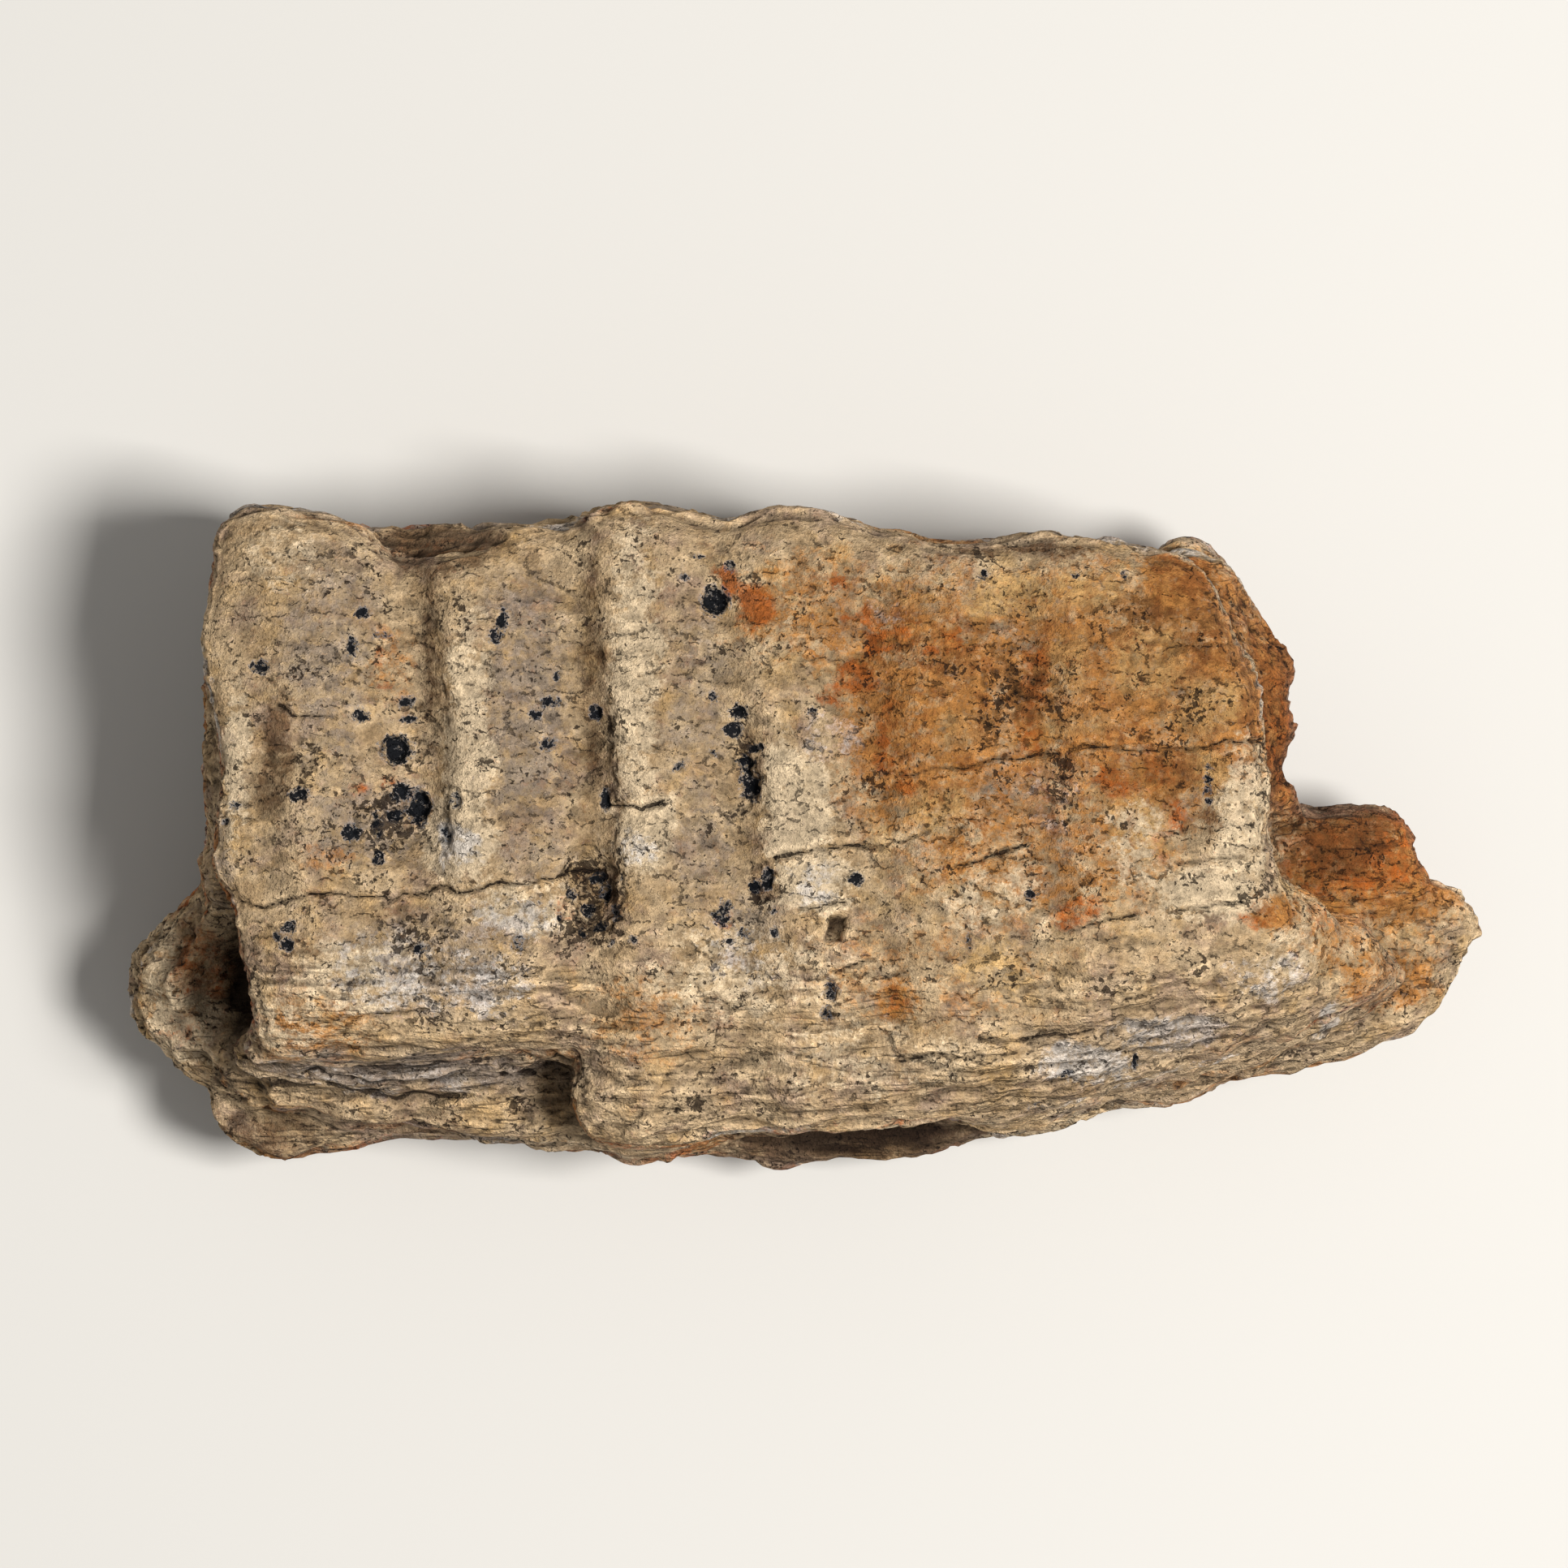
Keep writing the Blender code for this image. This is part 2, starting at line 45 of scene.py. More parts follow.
# The bone is made as one skin. Everything here is in millimetres, but for counts, shares and slopes.
# Slopes are parts of the skin's normal. Of two ends, something starts at the first and is full at the
# second.
bone = {
    "grid": 0.17,               # distance between the points that are sculpted
    "triangles": 192000,        # after the plain stretches are thinned out
    "facetRounds": 44,          # rounds of smoothing over the solid's facets
    "wallRounds": 110,          # further rounds on the grooved face, smoother than the broken sides
    "restingSkin": 0.8,         # no relief this near the face that the bone rests on
    "hills": (5.0, 0.16),       # size and height of the broad unevenness
    "lumps": (1.7, 0.07),       # the same for what a fingertip would feel
    "grit": (0.7, 0.05),        # and for the finest relief that the skin holds
    "chips": (1.6, 0.07),       # thin flakes of crust that are missing: size and depth
    "grainStretch": 6.0,        # bone fibres are this many times longer than wide
    "grain": (0.7, 0.08),       # width and height of the fibre bundles
    "splinters": (1.1, 0.30),   # the same for the splinters of the broken sides and the foot
    "sheets": (0.8, 0.32),      # thickness of the layers on broken sides, and how far they stick out
    "shingles": (1.15, 0.22),   # the same for the loose flakes of the lower part
    "sponge": (0.75, 0.40),     # width and depth of the cells of spongy bone
    "pitWarp": 0.25,            # how far the rims of spongy cells stray
    "pitRagged": 0.4,           # the share of it by which the rims of pits stray
    "pitCut": 0.6,              # the share of a pit's depth that is cut
    "crackReach": 0.7,          # how far from a crack its rim is still marked
    "crackWidth": 0.13,
    "crackDepth": 0.18,
    "crackWander": 0.24,        # how far a crack strays from its line
    "faceSlope": (0.25, 0.6),   # the grooved face, by slope and by height
    "faceHeight": (15.0, 19.0),
    "upSlope": (0.0, 0.4),      # whatever the camera sees
    "sideSlope": (0.35, 0.8),   # broken sides are steeper than this
    "endSlope": (0.45, 0.8),    # broken ends, where the fibres are seen end on
    "brokenHeight": (20.5, 16.5),
    "fibrousTop": (-3.0, -11.0),    # the wall turns fibrous towards its foot
    "footTop": (-12.0, -13.6),
    "flankTop": (-10.5, -14.0),     # right of flankStart the foot's upper edge drops away from flankFrom
    "flankStart": (8.0, 14.0),
    "flankFrom": 13.0,
    "flankDrop": 0.42}

# Places on the grooved face are x and y in millimetres from the bone's middle, +y towards the thin edge.

# Pits: x, y, half width, half height, depth, and how inky the inside is, from 0 to 1
pits = {
    "first row": (
        (-32.5, 10.2, 0.45, 0.30, 0.5, 0.9), (-35.6, 9.4, 0.25, 0.25, 0.3, 0.8),
        (-30.1, 2.6, 0.50, 0.30, 0.6, 1.0), (-34.0, 1.9, 0.30, 0.30, 0.4, 0.7),
        (-34.6, 1.0, 0.30, 0.25, 0.4, 0.4), (-30.7, -5.3, 0.34, 0.32, 0.4, 0.9),
        (-30.9, -6.3, 0.40, 0.34, 0.4, 0.8), (-31.4, -5.8, 0.25, 0.25, 0.3, 0.6)),
    "second row": (
        (-24.3, 5.3, 0.72, 0.66, 1.0, 1.0), (-24.0, 2.6, 0.46, 0.42, 0.7, 1.0),
        (-23.0, 1.8, 0.55, 0.85, 0.9, 1.0), (-24.5, 1.3, 0.40, 0.35, 0.6, 1.0),
        (-26.4, 13.4, 0.42, 0.27, 0.4, 0.9), (-26.9, 11.4, 0.27, 0.52, 0.5, 0.9),
        (-25.2, 12.0, 0.50, 0.20, 0.3, 0.5), (-26.4, 7.2, 0.42, 0.40, 0.5, 0.9),
        (-23.7, 8.1, 0.42, 0.24, 0.4, 0.9), (-23.6, 7.0, 0.42, 0.20, 0.4, 0.8),
        (-21.3, 0.4, 0.30, 0.60, 0.6, 0.7), (-20.9, 2.2, 0.35, 0.40, 0.5, 0.5),
        (-27.0, 0.3, 0.40, 0.40, 0.5, 0.8), (-25.5, 0.6, 0.30, 0.80, 0.5, 0.6),
        (-25.4, -1.2, 0.35, 0.30, 0.5, 0.8), (-17.0, -6.2, 0.60, 0.55, 0.3, 0.3),
        (-23.0, -6.7, 0.30, 0.30, 0.3, 0.7)),
    "third row": (
        (-18.1, 12.9, 0.26, 0.52, 0.5, 1.0), (-18.5, 11.9, 0.32, 0.30, 0.4, 0.9),
        (-12.5, 7.4, 0.30, 0.32, 0.5, 0.9), (-15.2, 8.1, 0.46, 0.27, 0.4, 0.9),
        (-15.3, 5.6, 0.36, 0.34, 0.4, 0.8), (-16.1, 7.3, 0.35, 0.25, 0.3, 0.6),
        (-14.7, 9.6, 0.22, 0.22, 0.3, 0.7), (-12.0, 2.3, 0.26, 0.52, 0.6, 0.9),
        (-13.9, -3.3, 0.32, 0.30, 0.5, 0.8), (-13.0, -4.2, 0.30, 0.26, 0.6, 0.8),
        (-12.5, -2.5, 0.34, 0.26, 0.5, 0.8), (-12.1, -3.4, 0.26, 0.42, 0.6, 0.9),
        (-11.4, -4.4, 0.24, 0.46, 0.6, 0.9), (-12.3, -5.2, 0.34, 0.24, 0.5, 0.8),
        (-13.3, -5.7, 0.20, 0.26, 0.4, 0.7), (-11.2, -2.5, 0.22, 0.32, 0.4, 0.7),
        (-11.6, -6.2, 0.20, 0.26, 0.3, 0.6), (-14.6, -4.7, 0.20, 0.20, 0.3, 0.6),
        (-10.3, -6.0, 0.34, 0.16, 0.3, 0.7)),
    "fourth row": (
        (-5.4, 14.1, 0.62, 0.70, 0.9, 1.0), (-7.2, 15.5, 0.22, 0.22, 0.3, 0.9),
        (-6.5, 16.8, 0.40, 0.15, 0.2, 0.4), (-4.6, 16.1, 0.30, 0.30, 0.3, 0.8),
        (-5.5, 5.0, 0.22, 0.22, 0.3, 0.8), (-7.5, 4.2, 0.35, 0.28, 0.3, 0.6),
        (-4.0, 7.5, 0.42, 0.42, 0.5, 0.9), (-4.3, 6.5, 0.42, 0.42, 0.5, 0.9),
        (-5.6, 8.4, 0.26, 0.26, 0.3, 0.7), (-3.6, 4.4, 0.42, 0.40, 0.6, 0.9),
        (-3.3, 3.1, 0.50, 0.72, 0.8, 0.9), (-3.0, 5.3, 0.50, 0.20, 0.4, 0.7)),
    "fourth valley, low": (
        (-2.3, -2.5, 0.30, 0.50, 0.6, 0.9), (-3.0, -2.9, 0.30, 0.30, 0.4, 0.8),
        (-5.0, -4.7, 0.42, 0.42, 0.5, 0.8), (-4.7, -4.0, 0.30, 0.30, 0.4, 0.8),
        (-1.9, -5.6, 0.20, 0.22, 0.3, 0.8), (-1.9, -4.4, 0.17, 0.17, 0.3, 0.8),
        (-3.7, -5.6, 0.26, 0.24, 0.3, 0.8), (-4.5, -6.1, 0.28, 0.24, 0.3, 0.7)),
    "right half": (
        (0.4, 7.5, 0.26, 0.26, 0.3, 0.8), (3.0, -2.5, 0.32, 0.30, 0.4, 1.0),
        (13.3, -3.4, 0.22, 0.22, 0.3, 1.0), (9.7, -6.2, 0.15, 0.50, 0.3, 0.6),
        (10.5, 15.7, 0.22, 0.20, 0.3, 0.7), (16.0, 15.7, 0.22, 0.16, 0.3, 0.6),
        (19.0, 15.6, 0.22, 0.20, 0.3, 0.7), (24.0, 4.2, 0.20, 0.18, 0.3, 0.8),
        (23.9, 3.5, 0.22, 0.20, 0.3, 0.8), (23.8, 2.9, 0.26, 0.20, 0.3, 0.8),
        (23.9, 2.2, 0.22, 0.18, 0.3, 0.8)),
    "foot and flank": (
        (1.5, -9.2, 0.42, 0.62, 0.6, 0.5), (1.3, -10.4, 0.32, 0.42, 0.5, 0.6),
        (36.7, -8.5, 0.44, 0.22, 0.5, 0.9), (15.4, -14.0, 0.38, 0.16, 0.4, 0.8),
        (19.7, -13.4, 0.15, 0.52, 0.5, 0.7), (14.0, -16.5, 1.00, 0.50, 0.8, 0.6))}

# A slanted oblong hole
socket = {"x": 1.8, "y": -5.4, "halfWidth": 0.46, "halfHeight": 0.66, "lean": 0.28, "depth": 0.9}

# Cracks: how many times as wide as crackWidth, and a line of places
cracks = {
    "long crack": (0.7, (
        (-35.0, -3.9), (-33.6, -3.9), (-32.0, -4.1), (-30.5, -3.6), (-29.5, -3.35), (-27.0, -3.5),
        (-26.0, -3.6), (-25.0, -3.3), (-24.7, -3.7), (-24.0, -3.4), (-22.6, -3.5), (-21.8, -3.0),
        (-20.5, -3.2), (-19.5, -2.9), (-18.0, -2.65), (-16.5, -2.7), (-15.0, -2.4), (-14.0, -2.0),
        (-12.5, -1.9))),
    "third row, upper": (0.8, ((-12.0, 2.0), (-10.0, 1.7), (-8.5, 2.1))),
    "fourth row": (0.9, ((-2.0, -1.1), (-0.5, -0.9), (0.5, -0.7), (1.5, -0.45), (4.0, -0.6))),
    "by the socket": (0.6, ((-0.5, -4.3), (1.0, -4.1), (2.2, -3.8))),
    "under the socket": (0.6, ((1.8, -7.9), (4.0, -7.2))),
    "first row": (0.6, ((-31.5, 7.8), (-30.0, 7.3), (-27.7, 7.2))),
    "right, upper": (0.8, ((16.5, 5.4), (19.0, 5.2), (22.0, 5.3), (24.0, 5.6), (26.5, 5.9), (27.5, 5.5))),
    "right, middle": (0.7, ((5.2, -0.4), (7.4, 0.4))),
    "right, rising": (0.7, ((8.8, -1.7), (10.8, -1.2), (13.0, -0.4))),
    "right, lower": (0.7, ((15.4, -5.5), (17.6, -4.9), (19.8, -4.6))),
    "right end, low": (0.6, ((22.2, -4.4), (24.0, -4.0), (26.0, -3.7))),
    "right end, middle": (0.6, ((22.2, -1.5), (24.2, -1.2), (26.0, -1.0))),
    "middle, upper": (0.6, ((5.2, 3.7), (8.6, 4.2), (11.8, 4.6), (14.9, 4.9))),
    "flank ledge": (0.8, ((10.5, -12.0), (13.6, -11.9), (16.8, -11.5))),
    "bulge seam": (0.7, ((5.4, -13.3), (7.6, -12.9), (9.6, -13.1), (10.6, -13.4))),
    "step, upper": (1.5, (
        (-33.4, -13.2), (-30.0, -13.5), (-27.0, -13.6), (-24.0, -13.8), (-20.0, -13.4), (-15.0, -12.9))),
    "step, middle": (1.0, ((-31.5, -14.1), (-27.0, -14.4), (-23.0, -14.7), (-19.0, -14.3), (-16.0, -14.2))),
    "step, lower": (1.2, ((-33.0, -14.8), (-29.0, -15.0), (-25.0, -15.5), (-21.0, -15.6))),
    "lower wall": (0.5, ((-31.5, -11.4), (-28.5, -10.9), (-26.0, -10.5), (-23.5, -10.4), (-22.0, -10.1))),
    "lower wall, right": (0.5, ((-22.4, -8.9), (-20.0, -8.7), (-18.0, -8.2), (-15.6, -7.8)))}

# Patches of colour: x, y, half width, half height, strength
patches = {
    "pale": (                   # dense, cream crests of the tooth rows
        (-34.0, 4.5, 0.9, 5.0, 0.7), (-20.1, 5.0, 1.6, 8.0, 0.8), (-20.4, 0.0, 1.9, 2.8, 1.0),
        (-10.2, 9.0, 1.7, 9.5, 0.75), (-9.8, 0.5, 1.8, 2.6, 0.9), (-0.6, 2.2, 2.1, 3.6, 0.95),
        (0.4, -2.6, 2.8, 1.8, 0.9), (-16.5, -4.2, 4.0, 1.7, 0.6), (26.0, 1.2, 1.9, 4.6, 0.62),
        (24.0, -3.6, 3.2, 1.8, 0.8), (19.8, -0.5, 1.8, 2.8, 0.5), (12.0, -3.6, 3.2, 1.8, 0.5),
        (-27.0, -8.0, 4.0, 2.4, 0.5), (-4.0, -8.0, 6.0, 3.0, 0.45), (-30.8, -11.0, 2.6, 2.0, 0.4),
        (-31.2, 17.0, 2.2, 2.6, 0.35), (4.0, -13.0, 6.0, 3.0, 0.35), (28.8, -6.8, 1.8, 1.6, 0.5),
        (19.4, 0.2, 1.6, 1.5, 0.5)),
    "straw": (                  # yellow tan between the orange stains
        (20.6, 10.6, 2.6, 2.4, 0.75), (24.0, 8.0, 2.8, 1.8, 0.80), (15.8, 10.2, 1.5, 2.4, 0.65),
        (12.4, 14.2, 3.4, 1.6, 0.75), (17.4, 14.6, 2.6, 1.4, 0.70), (19.4, 0.6, 2.0, 2.2, 0.75),
        (9.4, 6.6, 1.8, 1.6, 0.60), (7.6, 1.6, 2.2, 1.8, 0.70), (16.4, 6.9, 2.8, 0.9, 0.60),
        (7.0, 14.6, 2.0, 1.2, 0.50), (11.0, -7.6, 3.0, 1.8, 0.60), (23.4, 4.4, 1.4, 1.6, 0.60)),
    "chalk": (                  # grey white
        (-20.4, -0.4, 1.2, 1.7, 0.8), (-10.0, -0.6, 1.2, 1.4, 0.6), (-24.5, -7.8, 3.4, 2.6, 0.55),
        (-19.5, -8.6, 3.6, 2.6, 0.5), (-17.0, -4.6, 3.0, 1.4, 0.45), (0.5, -2.7, 1.8, 1.2, 0.5),
        (14.6, 2.6, 1.6, 3.0, 0.35), (16.5, -13.4, 3.4, 1.2, 0.75), (22.0, -11.6, 4.0, 1.2, 0.65),
        (27.6, -8.2, 3.2, 1.3, 0.5), (31.2, -11.0, 0.9, 1.3, 0.9), (-25.6, -14.6, 7.0, 0.8, 0.4),
        (1.5, 6.0, 1.4, 2.2, 0.4), (-4.5, -6.5, 2.6, 2.6, 0.35), (4.6, 13.6, 1.4, 0.8, 0.3)),
    "rust": (                   # deep orange brown
        (-2.7, 14.1, 1.2, 1.2, 1.2), (-4.6, 15.3, 1.0, 0.9, 1.0), (-3.6, 12.9, 0.8, 0.7, 0.7),
        (2.2, 15.4, 0.9, 0.5, 0.9), (3.1, 13.4, 1.1, 0.6, 0.9), (4.3, 11.7, 1.2, 1.1, 1.0),
        (5.4, 12.2, 1.0, 0.7, 0.8), (8.5, 11.8, 0.8, 0.7, 0.8), (7.2, 11.0, 0.8, 0.6, 0.7),
        (2.8, 9.6, 1.3, 0.8, 0.95), (1.4, 8.6, 1.0, 1.0, 0.7), (4.7, 7.2, 0.7, 1.7, 0.8),
        (4.6, 5.2, 0.7, 1.2, 0.7), (13.5, 9.7, 1.2, 2.0, 0.7), (13.2, 6.4, 0.9, 1.8, 0.6),
        (5.9, 2.9, 0.8, 0.9, 0.6), (18.4, 3.3, 1.2, 1.2, 0.7), (20.8, 3.5, 1.0, 0.9, 0.6),
        (21.8, 1.2, 0.8, 1.2, 0.7), (20.9, -0.8, 0.6, 1.0, 0.7), (16.0, -4.4, 1.6, 1.1, 0.8),
        (26.5, -4.8, 1.2, 0.5, 0.7), (5.3, -9.3, 0.9, 0.7, 0.6), (-25.4, 11.0, 0.45, 0.8, 0.7),
        (-25.2, 9.0, 0.5, 0.4, 0.5), (-26.5, 3.3, 0.6, 0.4, 0.7), (-24.6, 3.6, 0.6, 0.35, 0.6),
        (-14.2, -4.2, 0.8, 1.0, 0.5), (-4.9, -4.4, 0.7, 0.8, 0.5), (28.5, 7.0, 1.2, 4.0, 0.4),
        (32.0, -1.0, 3.6, 2.6, 0.45), (-21.8, 17.2, 3.2, 1.0, 0.5), (30.6, -4.6, 0.7, 1.8, 0.6),
        (36.0, -2.2, 2.6, 1.4, 0.4)),
    "ochre": (                  # warm orange tan
        (19.0, 9.0, 10.0, 8.0, 0.70), (7.0, 8.0, 6.0, 8.0, 0.72), (0.0, 13.5, 4.5, 3.6, 0.5),
        (14.0, 1.0, 9.0, 6.0, 0.56), (24.5, 12.0, 4.0, 5.0, 0.75), (28.0, -4.3, 1.6, 1.0, 0.75),
        (22.5, 15.0, 3.0, 2.4, 0.9), (26.5, 7.5, 1.4, 2.0, 0.9), (21.0, 4.0, 2.6, 2.0, 0.8),
        (35.0, -8.6, 3.4, 2.0, 0.6), (-29.0, -11.5, 4.0, 2.2, 0.45), (8.0, -8.0, 8.0, 3.6, 0.25),
        (-9.0, -10.5, 4.0, 3.0, 0.35), (24.0, -12.0, 3.0, 1.0, 0.4), (33.0, -6.0, 6.0, 3.0, 0.4),
        (5.3, -9.3, 1.6, 1.2, 0.7), (-24.8, 10.5, 1.2, 2.2, 0.4), (-28.5, -1.0, 2.0, 1.2, 0.3)),
    "umber": (                  # brown dirt, and painted shade in the valleys beside the crests
        (-22.6, 11.0, 0.6, 6.5, 0.6), (-12.8, 9.0, 0.7, 7.5, 0.55), (-31.6, 4.5, 1.1, 4.4, 0.7),
        (-12.4, -3.8, 1.6, 2.4, 0.4), (-3.4, 4.0, 0.7, 2.6, 0.5), (-2.6, -2.6, 0.6, 1.8, 0.45),
        (12.6, 17.2, 5.0, 0.7, 0.6), (-21.8, 17.4, 4.0, 1.5, 1.0), (24.0, 1.0, 0.5, 4.0, 0.4),
        (20.0, 13.3, 2.4, 1.2, 0.50), (12.8, 8.8, 1.8, 2.2, 0.50), (23.8, 12.0, 1.2, 1.8, 0.45),
        (8.8, 10.4, 1.6, 1.0, 0.35), (21.6, 3.6, 1.0, 2.2, 0.35), (10.2, 1.8, 0.8, 2.0, 0.30),
        (-29.8, -6.5, 0.9, 1.0, 0.3), (-24.5, -6.2, 2.0, 2.4, 0.35), (1.4, -9.8, 0.6, 1.4, 0.5),
        (29.6, 4.0, 0.9, 6.0, 0.6)),
    "slate": (                  # cool violet grey of the hollows
        (-28.6, 11.0, 3.2, 7.0, 0.5), (-16.8, 8.0, 2.8, 8.5, 0.6), (-6.4, 8.0, 1.8, 7.0, 0.4),
        (-25.6, 0.8, 3.8, 3.0, 0.55), (-16.0, -1.0, 3.0, 3.0, 0.35), (-6.0, -1.0, 2.2, 4.0, 0.4),
        (-23.0, -7.6, 6.0, 3.2, 0.5), (-3.0, -6.0, 2.0, 3.2, 0.5), (-34.9, -1.0, 0.9, 4.0, 0.4),
        (4.8, 9.0, 1.4, 1.4, 0.35), (17.0, 4.0, 2.0, 2.4, 0.25), (-24.0, -13.9, 9.0, 1.1, 0.7),
        (11.6, 11.0, 2.2, 2.4, 0.50), (11.4, 3.4, 2.4, 1.8, 0.55), (22.0, 9.2, 1.2, 0.8, 0.45),
        (14.8, 0.6, 0.8, 3.2, 0.50), (6.4, 14.4, 2.0, 1.0, 0.35))}

# Broken, unweathered bone low on the sides, and painted shade in the hollows: x, y, half width, half
# height, strength
brokenBone = {
    # umber: brown of broken bone, and painted shade under the overhang and on the low step
    "umber": (
        (-35.8, -7.5, 3.0, 3.4, 0.35), (-32.0, -17.6, 3.6, 1.6, 0.6), (3.0, -18.6, 9.0, 1.6, 0.9),
        (32.0, 0.2, 3.6, 2.6, 0.9), (29.0, 8.0, 1.6, 6.0, 0.3), (-36.0, 5.0, 1.0, 9.0, 0.10),
        (-24.0, -17.3, 6.5, 0.9, 0.5)),
    "ochre": ((28.8, 8.0, 2.4, 8.0, 1.0), (34.0, -2.0, 6.0, 4.0, 0.8), (-37.5, -9.0, 3.0, 4.0, 0.30)),
    "pale": ((-37.6, -11.0, 2.4, 3.0, 0.65), (-38.8, -8.0, 1.2, 4.0, 0.6)),
    "rust": (
        (33.5, -0.6, 5.4, 3.2, 0.7), (-36.2, -7.8, 2.0, 2.6, 0.60), (-37.0, -12.0, 2.4, 1.0, 0.35),
        (29.2, 5.0, 1.0, 6.0, 0.5)),
    # shadow: painted shadow in the slot beside the wall, under the overhang and in the notch
    "shadow": (
        (-33.8, -8.8, 1.0, 4.6, 1.0), (3.2, -18.1, 6.8, 1.2, 1.0), (-14.2, -16.4, 0.5, 1.6, 0.25),
        (-34.4, -14.6, 2.4, 0.7, 0.6))}

# Spongy bone on the grooved face, and where its edge shows thin layers
spongyBone = (
    (-12.6, -3.8, 2.2, 2.8, 0.6), (-3.4, 4.0, 0.9, 2.6, 0.6), (-2.6, -2.6, 0.8, 1.8, 0.5),
    (-25.0, 0.8, 2.6, 2.2, 0.50), (-22.8, -6.4, 1.8, 2.0, 0.55), (12.4, 9.0, 2.6, 2.2, 0.50),
    (15.0, 3.0, 1.2, 2.4, 0.5), (22.4, 7.6, 1.6, 1.2, 0.25), (-29.8, 4.4, 0.8, 2.6, 0.5))
layeredBone = ((-22.5, -13.9, 10.5, 1.2, 1.0), (22.0, -12.0, 9.0, 1.6, 0.6))


def linearColour(hexValue):
    channels = [int(hexValue[place:place + 2], 16) / 255 for place in (1, 3, 5)]
    return [c / 12.92 if c <= 0.04045 else ((c + 0.055) / 1.055) ** 2.4 for c in channels] + [1.0]


def ease(values, start, end):
    # 0 at start, 1 at end, with a smooth change between them
    share = np.clip((values - start) / (end - start), 0.0, 1.0)
    return share * share * (3.0 - 2.0 * share)


def shuffled(cells, seed):
    # a repeatable random number from 0 to 1 for each whole-numbered cell
    mixed = (cells * (73856093, 19349663, 83492791)).sum(axis=1) + seed * 12582917
    mixed = (mixed ^ (mixed >> 15)) * 2246822519 & 0xFFFFFFFF
    mixed = (mixed ^ (mixed >> 13)) * 3266489917 & 0xFFFFFFFF
    return ((mixed ^ (mixed >> 16)) & 0xFFFFF) / 0xFFFFF


# a turn that keeps the lattice of the noises off the bone's own axes
noiseTurn = np.array(((0.36, 0.48, -0.8), (-0.8, 0.6, 0.0), (0.48, 0.64, 0.6)))


def hillNoise(places, size, octaves=1, seed=0):
    # smooth random relief from about -1 to 1
    total, height, whole = 0.0, 1.0, 0.0
    for octave in range(octaves):
        spot = places @ noiseTurn * (2.0 ** octave / size) + 31.7 * (seed + 1)
        cell = np.floor(spot).astype(np.int64)
        share = spot - cell
        share = share * share * (3.0 - 2.0 * share)
        value = 0.0
        for corner in itertools.product((0, 1), repeat=3):
            weight = np.where(corner, share, 1.0 - share).prod(axis=1)
            value = value + weight * shuffled(cell + corner, seed * 8 + octave)
        total = total + height * (2.0 * value - 1.0)
        whole += height
        height *= 0.5
    return total / whole * 1.6


def hillNoises(places, size, octaves, seed, axes=3):
    # one such noise for each axis, to bend places with
    return np.stack([hillNoise(places, size, octaves, seed + axis) for axis in range(axes)], axis=1)


def alongJaw(places, times):
    # noise that is read at these places comes out this many times longer along the jaw
    return places / (times, 1.0, 1.0)


def cellNoise(places, size, seed=0):
    # how far the nearest of a scatter of centres is, in cells
    spot = places @ noiseTurn / size
    cell = np.floor(spot).astype(np.int64)
    nearest = np.full(len(places), 9.0)
    for step in itertools.product((-1, 0, 1), repeat=3):
        there = cell + step
        centre = np.stack([shuffled(there, seed * 8 + axis) for axis in range(3)], axis=1) + there
        nearest = np.minimum(nearest, np.linalg.norm(spot - centre, axis=1))
    return nearest


def ledges(level, rise, fall):
    # a stack of layers: each sticks out more and more up to its edge, which ends in a step
    step = level % 1.0
    return ease(step, 0.0, rise) * ease(step, 1.0, fall) - 0.6


def lineDistance(x, y, line):
    nearest = np.full_like(x, 99.0)
    for (x0, y0), (x1, y1) in zip(line, line[1:]):
        along = ((x - x0) * (x1 - x0) + (y - y0) * (y1 - y0)) / ((x1 - x0) ** 2 + (y1 - y0) ** 2)
        along = np.clip(along, 0.0, 1.0)
        nearest = np.minimum(nearest, np.hypot(x - x0 - along * (x1 - x0), y - y0 - along * (y1 - y0)))
    return nearest


def readPoints(values, name):
    flat = np.empty(len(values) * 3)
    values.foreach_get(name, flat)
    return flat.reshape(-1, 3)


def readEdges(mesh):
    ends = np.empty(len(mesh.edges) * 2, dtype=np.int64)
    mesh.edges.foreach_get("vertices", ends)
    return ends.reshape(-1, 2)


def writePoints(mesh, points):
    mesh.vertices.foreach_set("co", (points * mm).ravel())
    mesh.update()


def smoothed(points, edges, rounds):
    # each round moves a point half way to the middle of its neighbours
    one, other = edges.T
    count = np.bincount(edges.ravel(), minlength=len(points))[:, None]
    for _ in range(rounds):
        total = np.stack([
            np.bincount(one, points[other, axis], len(points))
            + np.bincount(other, points[one, axis], len(points)) for axis in range(3)], axis=1)
        points = 0.5 * points + 0.5 * total / count
    return points


def bakeModifiers(piece):
    graph = bpy.context.evaluated_depsgraph_get()
    baked = bpy.data.meshes.new_from_object(piece.evaluated_get(graph))
    piece.modifiers.clear()
    piece.data = baked


def copyOfSolid():
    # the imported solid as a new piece, closed again and cut into an even, fine grid
    piece = bpy.data.objects.new("fossil_bone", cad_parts["maxilla"].data.copy())
    bpy.context.scene.collection.objects.link(piece)
    bm = bmesh.new()
    bm.from_mesh(piece.data)
    bmesh.ops.remove_doubles(bm, verts=bm.verts, dist=0.001 * mm)
    bm.to_mesh(piece.data)
    bm.free()
    grid = piece.modifiers.new("fine grid", "REMESH")
    grid.mode = "VOXEL"
    grid.voxel_size = bone["grid"] * mm
    bakeModifiers(piece)
    return piece


